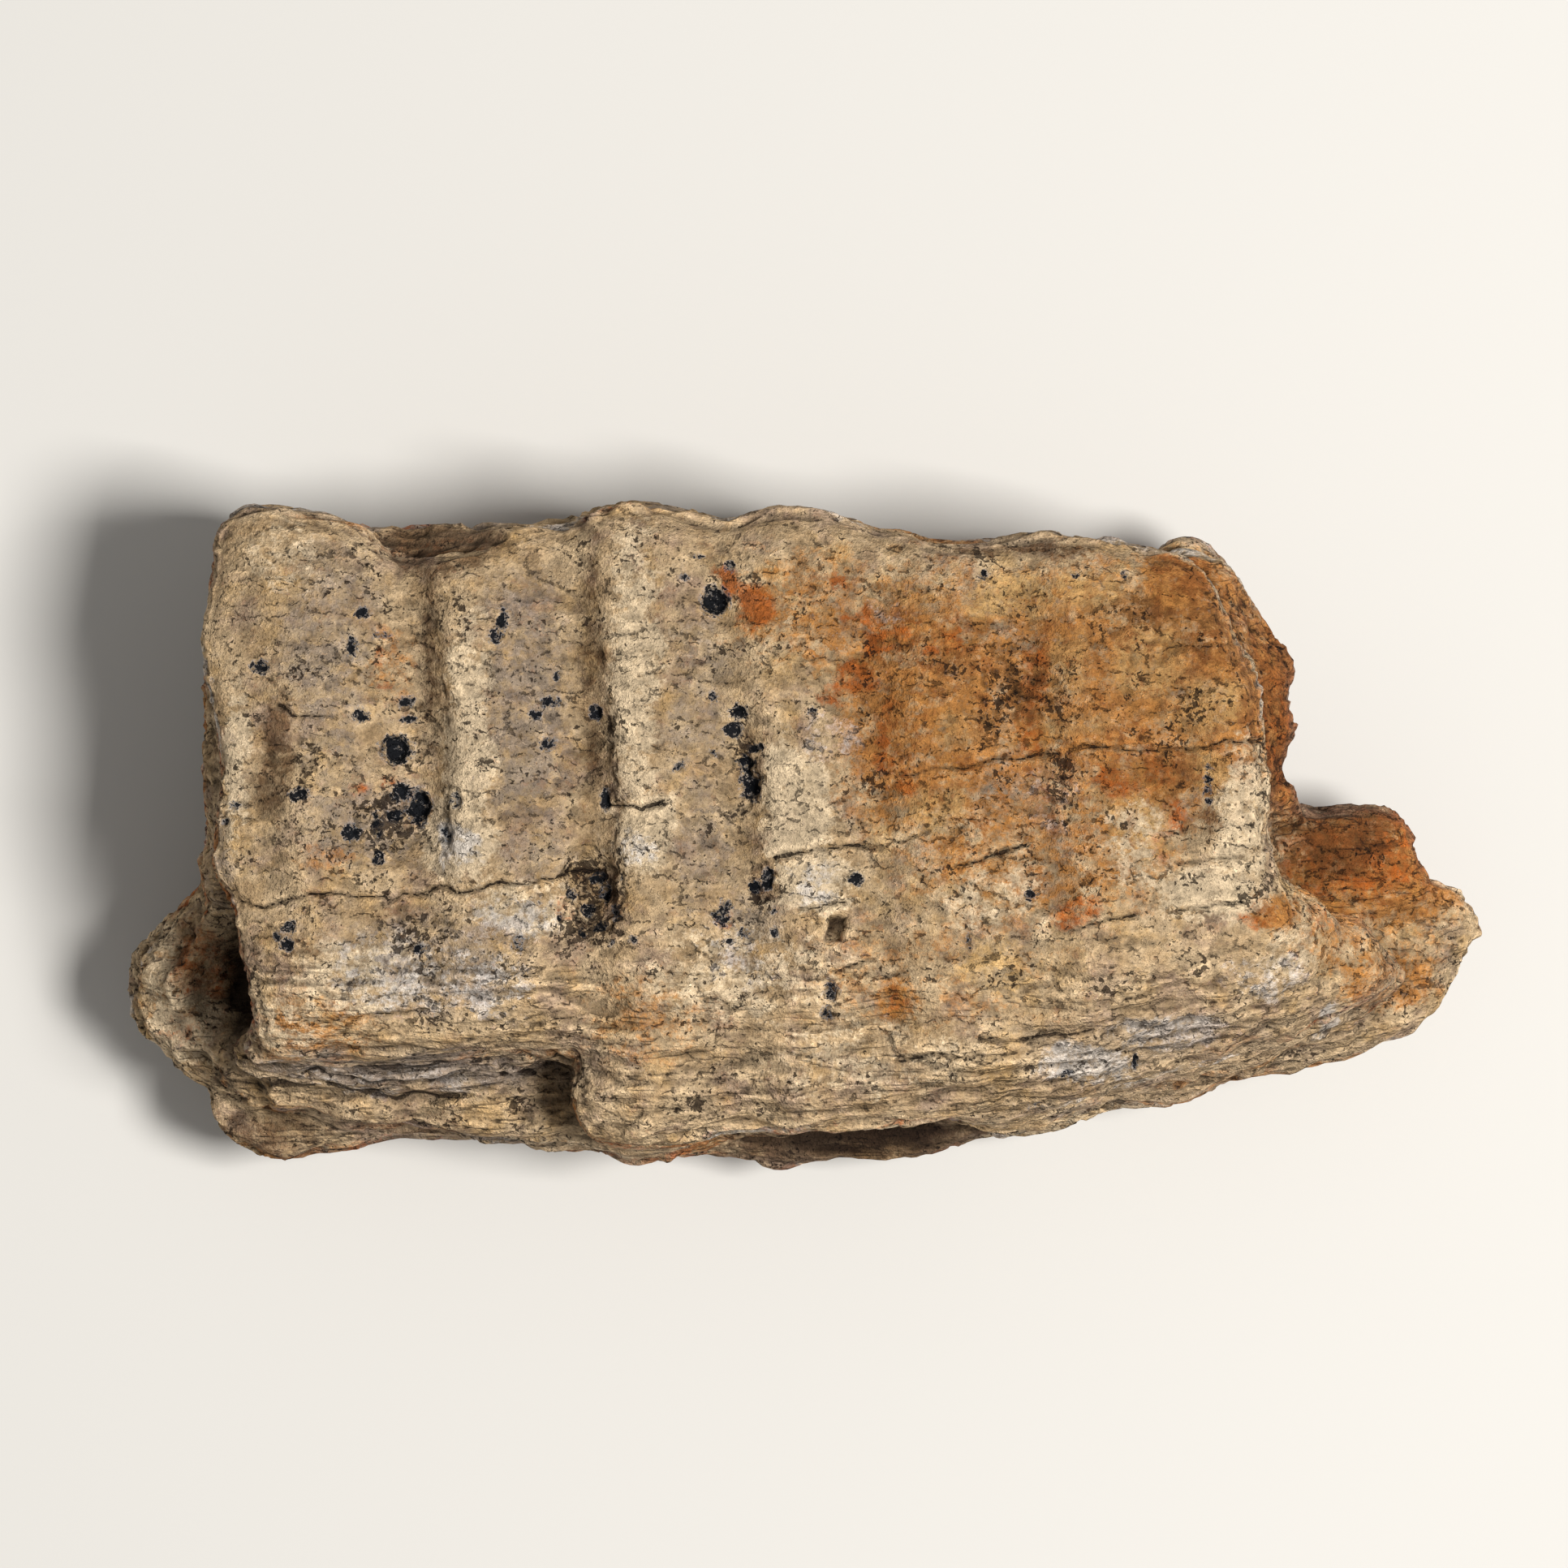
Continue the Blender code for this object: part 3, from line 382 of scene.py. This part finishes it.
def patchMask(x, y, spots):
    # full strength inside each patch, which is an oval with fuller corners, and 0 outside
    corner = 2.6
    mask = np.zeros_like(x)
    for cx, cy, halfWidth, halfHeight, strength in spots:
        far = np.abs((x - cx) / halfWidth) ** corner + np.abs((y - cy) / halfHeight) ** corner
        mask = np.maximum(mask, strength * ease(far ** (1 / corner), 1.35, 0.55))
    return mask


def pitFields(x, y):
    # how deep the pits and the oblong hole go, how inky the pits are, and where the hole is
    depth, ink = np.zeros_like(x), np.zeros_like(x)
    for group in pits.values():
        for cx, cy, halfWidth, halfHeight, deep, inky in group:
            far = np.hypot((x - cx) / halfWidth, (y - cy) / halfHeight)
            depth = np.maximum(depth, deep * ease(far, 1.35, 0.3))
            ink = np.maximum(ink, inky * ease(far, 2.1, 0.2))
    across = np.abs(x - socket["x"] - socket["lean"] * (y - socket["y"])) / socket["halfWidth"]
    far = np.maximum(across, np.abs(y - socket["y"]) / socket["halfHeight"])
    hole = ease(far, 1.3, 0.8)
    return np.maximum(bone["pitCut"] * depth, socket["depth"] * hole), ink, hole


def crackField(points):
    # how far each point is from the nearest crack: cracks wander, and gape and close along their length
    wander = bone["crackWander"] * hillNoises(points, 1.3, 3, 10, axes=2)
    gape = 1.0 + 0.6 * hillNoise(points, 1.8, 2, 16)
    nearest = np.full(len(points), 9.0)
    for width, line in cracks.values():
        reach = width * np.maximum(0.05, gape + 0.6 * (width - 0.6))
        far = lineDistance(points[:, 0] + wander[:, 0], points[:, 1] + wander[:, 1], line)
        nearest = np.minimum(nearest, far / reach)
    return nearest


def smoothSkin(mesh, edges):
    # the solid's facets smoothed away, and the grooved face smoothed further
    points = smoothed(readPoints(mesh.vertices, "co") / mm, edges, bone["facetRounds"])
    writePoints(mesh, points)
    normals = readPoints(mesh.vertex_normals, "vector")
    facing = ease(normals[:, 2], *bone["faceSlope"]) * ease(points[:, 2], *bone["faceHeight"])
    points += (smoothed(points, edges, bone["wallRounds"]) - points) * facing[:, None]
    writePoints(mesh, points)
    return points, readPoints(mesh.vertex_normals, "vector"), facing


def zonesOf(points, normals, facing):
    # which part of the bone each point is on, from 0 to 1
    x, y, z = points.T
    side = 1.0 - ease(np.abs(normals[:, 2]), *bone["sideSlope"])
    flank = ease(y + bone["flankDrop"] * (x - bone["flankFrom"]), *bone["flankTop"])
    foot = np.maximum(ease(y, *bone["footTop"]), flank * ease(x, *bone["flankStart"]))
    return {
        "facing": facing,
        "upward": np.maximum(facing, ease(normals[:, 2], *bone["upSlope"])),
        "endOn": ease(np.abs(normals[:, 0]), *bone["endSlope"]),
        "fibrous": 0.15 + 0.85 * np.maximum(ease(y, *bone["fibrousTop"]), 1.0 - facing),
        "broken": np.maximum(np.maximum(side, 0.5 * foot), 0.9 * patchMask(x, y, layeredBone)),
        "low": ease(z, *bone["brokenHeight"]),
        "free": ease(z, 0.0, bone["restingSkin"])}


def broadRelief(points, zones):
    # hills, lumps and grit, and thin flakes of crust that are missing
    relief = 0.0
    for seed, name in enumerate(("hills", "lumps", "grit"), 1):
        size, height = bone[name]
        relief = relief + height * hillNoise(points, size, 2, seed)
    size, height = bone["chips"]
    ragged = points + 0.35 * hillNoises(points, 0.8, 2, 17)
    missing = ease(hillNoise(alongJaw(ragged, 1.8), size, 3, 14), 0.10, 0.16)
    return relief - height * missing * zones["facing"]


def layeredRelief(points, zones):
    # what runs along the jaw: fibre bundles, splinters, the edges of bone layers, and loose flakes
    y, z = points[:, 1], points[:, 2]
    fibrous, broken, endOn = zones["fibrous"], zones["broken"], zones["endOn"]
    stretched = alongJaw(points, bone["grainStretch"])
    size, height = bone["grain"]
    relief = height * fibrous * hillNoise(stretched, size, 3, 4)

    size, height = bone["splinters"]
    bent = stretched + 0.25 * hillNoises(points, 3.0, 2, 15)
    ridge = 0.5 - 2.2 * np.abs(hillNoise(bent, size, 2, 5))
    relief += height * broken * ridge * (1.0 - 0.7 * endOn)

    size, height = bone["sheets"]
    level = 0.42 * z + 0.66 * y + 1.3 * hillNoise(alongJaw(points, 2.0), 4.0, 3, 6)
    share = np.clip(0.4 + 1.2 * hillNoise(alongJaw(points, 1.6), 3.0, 2, 13), 0.0, 1.0)
    relief += height * share * broken * ledges(level / size, 0.72, 0.86) * (1.0 - 0.4 * endOn)

    size, height = bone["shingles"]
    level = 0.45 * z + 0.80 * y + 1.5 * hillNoise(alongJaw(points, 2.6), 3.2, 3, 23)
    share = np.clip(0.45 + 1.2 * hillNoise(alongJaw(points, 1.6), 4.0, 2, 24), 0.0, 1.0)
    return relief + height * share * fibrous * zones["facing"] * ledges(level / size, 0.8, 0.9)


def drawnRelief(points, zones):
    # what has its own place: spongy cells, pits, the oblong hole and cracks. With the relief come
    # their masks, the hole, and the hole's upper rim
    facing, upward = zones["facing"], zones["upward"]
    rough = points + bone["pitWarp"] * hillNoises(points, 0.6, 2, 7)
    size, height = bone["sponge"]
    ends = 0.6 * zones["endOn"] * zones["broken"]
    spongy = np.maximum(patchMask(rough[:, 0], rough[:, 1], spongyBone) * facing, ends)
    relief = -height * spongy * (1.0 - ease(cellNoise(rough, size, 3), 0.18, 0.55))

    share = bone["pitRagged"]
    bent = (1.0 - share) * points + share * rough
    depth, ink, hole = pitFields(bent[:, 0], bent[:, 1])
    relief -= depth * facing

    crack = crackField(points)
    relief -= bone["crackDepth"] * ease(crack / bone["crackWidth"], 2.4, 0.4) * upward

    masks = {
        "ink": ink * facing,
        "crack": np.clip(1.0 - crack / bone["crackReach"], 0.0, 1.0) * upward,
        "sponge": spongy * (0.3 + 0.7 * facing)}     # its specks are mostly on the grooved face
    hole *= facing
    rim = hole * ease(rough[:, 1], socket["y"] - 0.6, socket["y"] + 0.5)     # painted shadow under the upper rim
    return relief, masks, hole, rim


def hollowMasks(points, normals, edges):
    # how far each point lies below its near and its wide surroundings, for painted shade in hollows and
    # dips and painted light on raised spots
    masks = {}
    for name, rounds, depth in (("hollow", 18, 0.12), ("dip", 110, 0.5)):
        below = ((smoothed(points, edges, rounds) - points) * normals).sum(axis=1)
        masks[name] = np.clip(0.5 + below / depth, 0.0, 1.0)
    return masks


def colourMasks(smooth, points, normals, zones, hole, rim):
    # the patches of colour, of painted shade and of painted shadow, with edges that wander
    blurX = smooth[:, 0] + 0.5 * hillNoise(points, 1.6, 2, 20)
    blurY = smooth[:, 1] + 0.5 * hillNoise(points, 1.6, 2, 21)
    torn = zones["broken"] * np.clip(0.5 + 0.9 * hillNoise(points, 6.0, 2, 22), 0.1, 1.0)
    masks = {"layered": np.maximum(0.6 * torn, patchMask(blurX, blurY, layeredBone))}
    for name, spots in patches.items():
        masks[name] = patchMask(blurX, blurY, spots) * zones["upward"]
    for name, spots in brokenBone.items():
        masks[name] = np.maximum(masks.get(name, 0.0), patchMask(blurX, blurY, spots) * zones["low"])
    masks["shadow"] *= 1.0 - ease(-normals[:, 1], 0.5, 0.9)      # the outer side is in the light
    # painted shadow under the oblong hole's upper rim, in brown and in dark
    masks["umber"] = np.maximum(masks["umber"], 0.05 * hole + 0.75 * rim)
    masks["shadow"] = np.maximum(masks["shadow"], 0.8 * rim)
    unseen = alongJaw(points, 1.8)       # the sides and the back get stains of the same kinds
    for seed, name in enumerate(("ochre", "chalk", "rust", "pale", "slate")):
        stain = 0.65 * ease(hillNoise(unseen, 6.0, 3, 30 + seed), 0.10, 0.45)
        masks[name] = np.maximum(masks[name], stain * (1.0 - zones["upward"]))
    return masks


def sculpt(piece):
    # the relief, and the masks that the material reads; what comes back is where something is drawn
    mesh = piece.data
    edges = readEdges(mesh)
    smooth, normals, facing = smoothSkin(mesh, edges)
    zones = zonesOf(smooth, normals, facing)
    drawn, masks, hole, rim = drawnRelief(smooth, zones)
    relief = broadRelief(smooth, zones) + layeredRelief(smooth, zones) + drawn
    points = smooth + normals * (relief * zones["free"])[:, None]
    writePoints(mesh, points)

    print("bone: masks for the colours")
    normals = readPoints(mesh.vertex_normals, "vector")
    masks["fibrous"] = zones["fibrous"]
    masks.update(hollowMasks(points, normals, edges))
    masks.update(colourMasks(smooth, points, normals, zones, hole, rim))
    for name, values in masks.items():
        layer = mesh.attributes.new(name, "FLOAT", "POINT")
        layer.data.foreach_set("value", np.ascontiguousarray(values, dtype=np.float32))
    return np.maximum(masks["ink"], masks["crack"]) > 0.02


def thinOut(piece, drawn):
    # plain stretches need fewer faces than ledges do, and pits and cracks keep all of theirs
    plain = piece.vertex_groups.new(name="plain")
    plain.add(np.flatnonzero(~drawn).tolist(), 1.0, "REPLACE")
    triangles = sum(len(face.vertices) - 2 for face in piece.data.polygons)
    thin = piece.modifiers.new("fewer faces", "DECIMATE")
    thin.ratio = min(1.0, bone["triangles"] / triangles)
    thin.vertex_group = plain.name
    bakeModifiers(piece)
    print("bone skin:", len(piece.data.polygons), "faces")


def addNode(tree, kind, inputs, output=0, **settings):
    # a node with its settings and links; what comes back is one of its outputs
    node = tree.nodes.new("ShaderNode" + kind)
    for name, value in settings.items():
        setattr(node, name, value)
    for key, value in inputs.items():
        if isinstance(value, bpy.types.NodeSocket):
            tree.links.new(value, node.inputs[key])
        else:
            node.inputs[key].default_value = value
    return node.outputs[output] if node.outputs else None


# Mineralised bone, weathered outdoors: dry and dull, with a chalky crust over darker broken bone
finish = {
    "tan": "#AA8D68",
    "sand": "#C9AD87",
    "mauve": "#937A69",
    "straw": "#C19A62",
    "cream": "#D6BE9B",
    "chalk": "#CFC7BE",
    "ochre": "#B67734",
    "sienna": "#723F1A",
    "rust": "#A3561F",
    # umber: brown dirt, and painted shade in valleys, under the overhang and under the hole's rim
    "umber": "#52351C",
    "slate": "#82756B",
    # shadow: painted shadow, and the dark of cracks, hairlines and specks
    "shadow": "#1F140D",
    "ink": "#090C11",
    "halo": "#848B95",          # bluish stain round the inky pits
    "roughness": 0.85,
    "gloss": 0.12,              # next to nothing: the crust is dusty
    "blotch": 2.4,              # sizes in mm, as the next nine
    "ragged": 0.55,
    "bend": 0.5,
    "warp": 0.35,
    "drift": 2.6,
    "flake": 0.62,
    "net": 1.3,
    "grain": 0.26,
    "speck": 0.34,
    "streak": 0.8,
    "flakeStep": 0.22,          # heights and depths in mm, as the next seven
    "fleckHeight": 0.10,
    "grainHeight": 0.34,
    "layerStep": 0.26,
    "speckDepth": 0.22,
    "netDepth": 0.18,
    "crackDepth": 0.34,
    "inkDepth": 0.30}


def boneNoises(add):
    # places in mm, and the same places bent a little, so that nothing drawn with them is straight
    place = add("VectorMath", {0: add("TexCoord", {}, "Object"), 1: [1 / mm] * 3}, operation="MULTIPLY")
    bend = add("TexNoise", {"Vector": place, "Scale": 1 / finish["bend"], "Detail": 2.0}, "Color")
    bend = add("VectorMath", {0: bend, 1: (0.5, 0.5, 0.5)}, operation="SUBTRACT")
    bend = add("VectorMath", {0: bend, 1: [2 * finish["warp"]] * 3}, operation="MULTIPLY")
    rough = add("VectorMath", {0: place, 1: bend}, operation="ADD")
    noises = {"place": place, "rough": rough}

    # what each runs on, how that is stretched, detail, roughness, and whether its three colours are used
    for name, size, where, stretch, detail, roughness, output in (
            ("tone", "blotch", place, (1.0, 1.0, 1.0), 5.0, 0.64, "Color"),
            ("ragged", "ragged", place, (1.0, 1.0, 1.0), 4.0, 0.70, "Color"),
            ("grain", "grain", place, (1.0, 1.0, 1.0), 3.0, 0.70, "Fac"),
            ("speck", "speck", rough, (1.0, 1.0, 1.0), 2.0, 0.60, "Fac"),
            ("streak", "streak", place, (1.0, 0.16, 1.0), 3.0, 0.60, "Fac"),
            ("drift", "drift", place, (0.16, 1.0, 1.0), 4.0, 0.55, "Fac")):
        where = add("VectorMath", {0: where, 1: stretch}, operation="MULTIPLY")
        inputs = {"Vector": where, "Scale": 1 / finish[size], "Detail": detail, "Roughness": roughness}
        noises[name] = add("TexNoise", inputs, output)
    flakes = add("VectorMath", {0: rough, 1: (0.55, 1.0, 1.0)}, operation="MULTIPLY")
    noises["flakes"] = add("TexVoronoi", {"Vector": flakes, "Scale": 1 / finish["flake"]}, "Color")
    for name in ("tone", "ragged", "flakes"):
        noises[name] = [add("SeparateColor", {0: noises[name]}, part) for part in ("Red", "Green", "Blue")]
    return noises


def crustColour(add, colours, masks, noises):
    # ground colour in blotches: noise, where it starts and ends, paint, and how much of it at most
    tone, ragged, flakes = noises["tone"], noises["ragged"], noises["flakes"]
    colour = add("RGB", {})
    colour.default_value = colours["tan"]
    for noise, low, high, paint, most in (
            (tone[0], 0.38, 0.60, "sand", 1.0), (tone[1], 0.50, 0.66, "mauve", 0.65),
            (tone[2], 0.52, 0.68, "straw", 0.6)):
        share = add("MapRange", {0: noise, 1: low, 2: high, 4: most})
        colour = add("Mix", {0: share, 6: colour, 7: colours[paint]}, 2, data_type="RGBA")

    # each patch over it with a flaky edge: mask, paint, how late it starts, how wide its edge is, most
    for part, (mask, paint, late, wide, most) in enumerate((
            ("slate", "slate", 0.0, 0.50, 0.70), ("ochre", "ochre", 0.0, 0.50, 0.85),
            ("straw", "straw", 0.10, 0.50, 0.80), ("pale", "cream", 0.05, 0.35, 0.85),
            ("chalk", "chalk", 0.10, 0.40, 0.70), ("ochre", "sienna", 0.36, 0.45, 0.80),
            ("rust", "rust", 0.12, 0.55, 0.90), ("umber", "umber", 0.0, 0.50, 0.75))):
        carrier = noises["streak"] if paint == "sienna" else tone[part % 3]      # stains run down the rows
        edge = masks[mask]
        for noise, strength in ((ragged[part % 3], 1.5), (flakes[part % 3], 0.35), (carrier, 0.8),
                                (noises["grain"], 0.6)):
            edge = add("Math", {0: noise, 1: strength, 2: edge}, operation="MULTIPLY_ADD")
        share = add("MapRange", {0: edge, 1: 1.85 + late, 2: 1.85 + late + wide, 4: most})
        colour = add("Mix", {0: share, 6: colour, 7: colours[paint]}, 2, data_type="RGBA")
    share = add("Math", {0: masks["layered"], 1: 0.45}, operation="MULTIPLY")
    return add("Mix", {0: share, 6: colour, 7: colours["slate"]}, 2, data_type="RGBA")


def fineLines(add, masks, noises):
    # thin layers along the jaw: each ends in a little step with a line of painted shadow under it
    tone, ragged, fibrous, layered = noises["tone"], noises["ragged"], masks["fibrous"], masks["layered"]
    level = add("VectorMath", {0: noises["place"], 1: (0.0, 1.0, 0.7)}, "Value", operation="DOT_PRODUCT")
    level = add("Math", {0: noises["drift"], 1: 9.0, 2: level}, operation="MULTIPLY_ADD")
    step = add("Math", {0: level}, operation="FRACT")
    shown = add("Math", {0: tone[1], 1: 1.2, 2: fibrous}, operation="MULTIPLY_ADD")
    shown = add("MapRange", {0: shown, 1: 1.05, 2: 1.40})
    shown = add("Math", {0: shown, 1: fibrous}, operation="MULTIPLY")
    shown = add("Math", {0: shown, 1: layered}, operation="MAXIMUM")
    step = add("Math", {0: step, 1: shown}, operation="MULTIPLY")
    reach = add("Math", {0: layered, 1: 0.20, 2: 0.30}, operation="MULTIPLY_ADD")
    ledgeShadow = add("MapRange", {0: step, 1: reach, 2: 0.06})
    ledgeShadow = add("Math", {0: ledgeShadow, 1: shown}, operation="MULTIPLY")
    gaps = add("Math", {0: ragged[2], 1: tone[2]}, operation="ADD")
    gaps = add("MapRange", {0: gaps, 1: 0.92, 2: 1.06, 3: 0.15})
    ledgeShadow = add("Math", {0: ledgeShadow, 1: gaps}, operation="MULTIPLY")

    # a net of hairline cracks, of which only parts show, and specks in crowds
    net = add("VectorMath", {0: noises["rough"], 1: (0.24, 1.0, 1.0)}, operation="MULTIPLY")
    net = add("TexVoronoi", {"Vector": net, "Scale": 1 / finish["net"]}, feature="DISTANCE_TO_EDGE")
    net = add("MapRange", {0: net, 1: 0.045, 2: 0.015})
    share = add("MapRange", {0: ragged[1], 1: 0.51, 2: 0.59})
    net = add("Math", {0: net, 1: share}, operation="MULTIPLY")
    crowd = add("Math", {0: tone[0], 1: 1.1, 2: noises["speck"]}, operation="MULTIPLY_ADD")
    crowd = add("Math", {0: masks["sponge"], 1: 0.28, 2: crowd}, operation="MULTIPLY_ADD")

    # the cracks and pits that were sculpted, with torn edges
    torn = add("Math", {0: noises["speck"], 1: ragged[0]}, operation="ADD")
    torn = add("Math", {0: torn, 1: noises["grain"]}, operation="ADD")
    torn = add("Math", {0: torn, 1: 1.5}, operation="SUBTRACT")
    crack = add("Math", {0: torn, 1: 0.16, 2: masks["crack"]}, operation="MULTIPLY_ADD")
    near = add("MapRange", {0: masks["ink"], 1: 0.05, 2: 0.35, 4: 2.2})
    inkEdge = add("Math", {0: torn, 1: near, 2: masks["ink"]}, operation="MULTIPLY_ADD")
    return {
        "step": step,
        "ledgeShadow": ledgeShadow,
        "net": net,
        "speck": add("MapRange", {0: crowd, 1: 1.25, 2: 1.30}),
        "fleck": add("MapRange", {0: noises["speck"], 1: 0.38, 2: 0.32}),        # tiny pale chips, painted lighter as small highlights
        "crack": add("MapRange", {0: crack, 1: 0.88, 2: 0.94}),
        "halo": add("MapRange", {0: inkEdge, 1: 0.20, 2: 0.50}),
        "ink": add("MapRange", {0: inkEdge, 1: 0.52, 2: 0.60})}


def boneMaterial():
    # weathered permineralised bone: matt, mottled and flaky, with fine cracks and layers along the jaw
    material = bpy.data.materials.new("fossil bone, weathered")
    material.use_nodes = True
    material.node_tree.nodes.clear()
    add = functools.partial(addNode, material.node_tree)
    colours = {name: linearColour(value) for name, value in finish.items() if isinstance(value, str)}
    masks = {}
    for name in ("pale", "straw", "chalk", "rust", "ochre", "umber", "slate", "shadow", "ink", "crack",
                 "sponge", "hollow", "dip", "fibrous", "layered"):
        masks[name] = add("Attribute", {}, "Fac", attribute_name=name)
    noises = boneNoises(add)
    lines = fineLines(add, masks, noises)
    colour = crustColour(add, colours, masks, noises)

    # lighter and darker: mask, where it starts and ends, and how light the colour is at both
    # the fibrous foot and sides are painted lighter, to make up for the light that falls on them less
    # the hollow and dip masks paint shade into hollows and wide dips, and light onto raised spots
    for mask, low, high, start, end in (
            (noises["streak"], 0.3, 0.7, 0.90, 1.08), (noises["flakes"][2], 0.0, 1.0, 0.85, 1.13),
            (noises["grain"], 0.3, 0.7, 0.67, 1.26), (masks["hollow"], 0.1, 0.9, 1.22, 0.60),
            (masks["dip"], 0.5, 1.0, 1.0, 0.78), (masks["fibrous"], 0.15, 0.8, 0.93, 1.11),
            (lines["fleck"], 0.0, 1.0, 1.0, 1.35)):
        shade = add("MapRange", {0: mask, 1: low, 2: high, 3: start, 4: end})
        colour = add("Mix", {0: 1.0, 6: colour, 7: shade}, 2, data_type="RGBA", blend_type="MULTIPLY")

    # painted shadow under layer edges, dark hairlines, specks, painted shadow in hollows, cracks and inky
    # pits: mask, paint, and how much of it at most
    for mask, paint, most in (
            (lines["ledgeShadow"], "shadow", 0.76), (lines["net"], "shadow", 0.60),
            (lines["halo"], "halo", 0.50), (lines["speck"], "shadow", 0.85),
            (masks["shadow"], "shadow", 0.90), (lines["crack"], "shadow", 0.86),
            (lines["ink"], "ink", 0.97)):
        share = add("Math", {0: mask, 1: most}, operation="MULTIPLY")
        colour = add("Mix", {0: share, 6: colour, 7: colours[paint]}, 2, data_type="RGBA")

    # the finest relief, in mm
    height = 0.0
    for mask, rise in (
            (noises["flakes"][0], finish["flakeStep"]), (lines["fleck"], finish["fleckHeight"]),
            (noises["grain"], finish["grainHeight"]), (lines["step"], finish["layerStep"]),
            (lines["speck"], -finish["speckDepth"]), (lines["net"], -finish["netDepth"]),
            (lines["crack"], -finish["crackDepth"]), (lines["ink"], -finish["inkDepth"])):
        height = add("Math", {0: mask, 1: rise, 2: height}, operation="MULTIPLY_ADD")
    bump = add("Bump", {"Strength": 1.0, "Distance": mm, "Height": height})
    shader = add("BsdfPrincipled", {"Base Color": colour, "Roughness": finish["roughness"],
                                    "Specular IOR Level": finish["gloss"], "Normal": bump})
    add("OutputMaterial", {"Surface": shader})
    return material


print("bone: fine grid over the packed solid")
fossil = copyOfSolid()
print("bone: sculpting", len(fossil.data.vertices), "points")
drawnPoints = sculpt(fossil)
thinOut(fossil, drawnPoints)
fossil.data.shade_smooth()
fossil.data.materials.clear()
fossil.data.materials.append(boneMaterial())
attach(fossil, "root")
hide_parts("maxilla")

# Studio: a pale table, one soft lamp above and to the right, and a camera straight above the bone
studio = {
    "table": "#CDC9C2",
    "tableSize": 3.0,           # metres, as the lamp's place and size
    "tableRoughness": 0.9,
    "sky": "#F2F4F6",
    "skyStrength": 0.34,
    "lampPlace": (0.24, -0.03, 0.58),
    "lampSize": 0.15,
    "lampPower": 5.1,           # watts
    "frameWidth": 93.74,        # mm of the bone's own plane that the picture is wide
    "frameCentre": (-1.31, 3.20, 18.0),     # mm
    "lens": 400.0}              # mm: long, so that the sides don't show


def buildStudio():
    mesh = bpy.data.meshes.new("table")
    half = studio["tableSize"] / 2
    corners = [(-half, -half, 0), (half, -half, 0), (half, half, 0), (-half, half, 0)]
    mesh.from_pydata(corners, [], [(0, 1, 2, 3)])
    table = bpy.data.objects.new("table", mesh)
    bpy.context.scene.collection.objects.link(table)
    material = bpy.data.materials.new("matt paper")      # plain and pale, so that only the bone has colour
    material.use_nodes = True
    shader = material.node_tree.nodes["Principled BSDF"]
    shader.inputs["Base Color"].default_value = linearColour(studio["table"])
    shader.inputs["Roughness"].default_value = studio["tableRoughness"]
    mesh.materials.append(material)

    world = bpy.data.worlds.new("studio")
    world.use_nodes = True
    sky = world.node_tree.nodes["Background"]
    sky.inputs["Color"].default_value = linearColour(studio["sky"])
    sky.inputs["Strength"].default_value = studio["skyStrength"]
    bpy.context.scene.world = world

    lamp = bpy.data.objects.new("softbox", bpy.data.lights.new("softbox", "AREA"))
    lamp.data.energy = studio["lampPower"]
    lamp.data.size = studio["lampSize"]
    lamp.location = studio["lampPlace"]
    lamp.rotation_euler = (-Vector(studio["lampPlace"])).to_track_quat("-Z", "Y").to_euler()
    bpy.context.scene.collection.objects.link(lamp)

    camera = bpy.data.objects.new("camera", bpy.data.cameras.new("camera"))
    camera.data.lens = studio["lens"]
    away = studio["frameWidth"] * studio["lens"] / camera.data.sensor_width
    camera.location = (Vector(studio["frameCentre"]) + Vector((0.0, 0.0, away))) * mm
    bpy.context.scene.collection.objects.link(camera)
    bpy.context.scene.camera = camera
    bpy.context.scene.view_settings.view_transform = "Standard"     # no film look


print("studio: table, lamp and camera")
buildStudio()
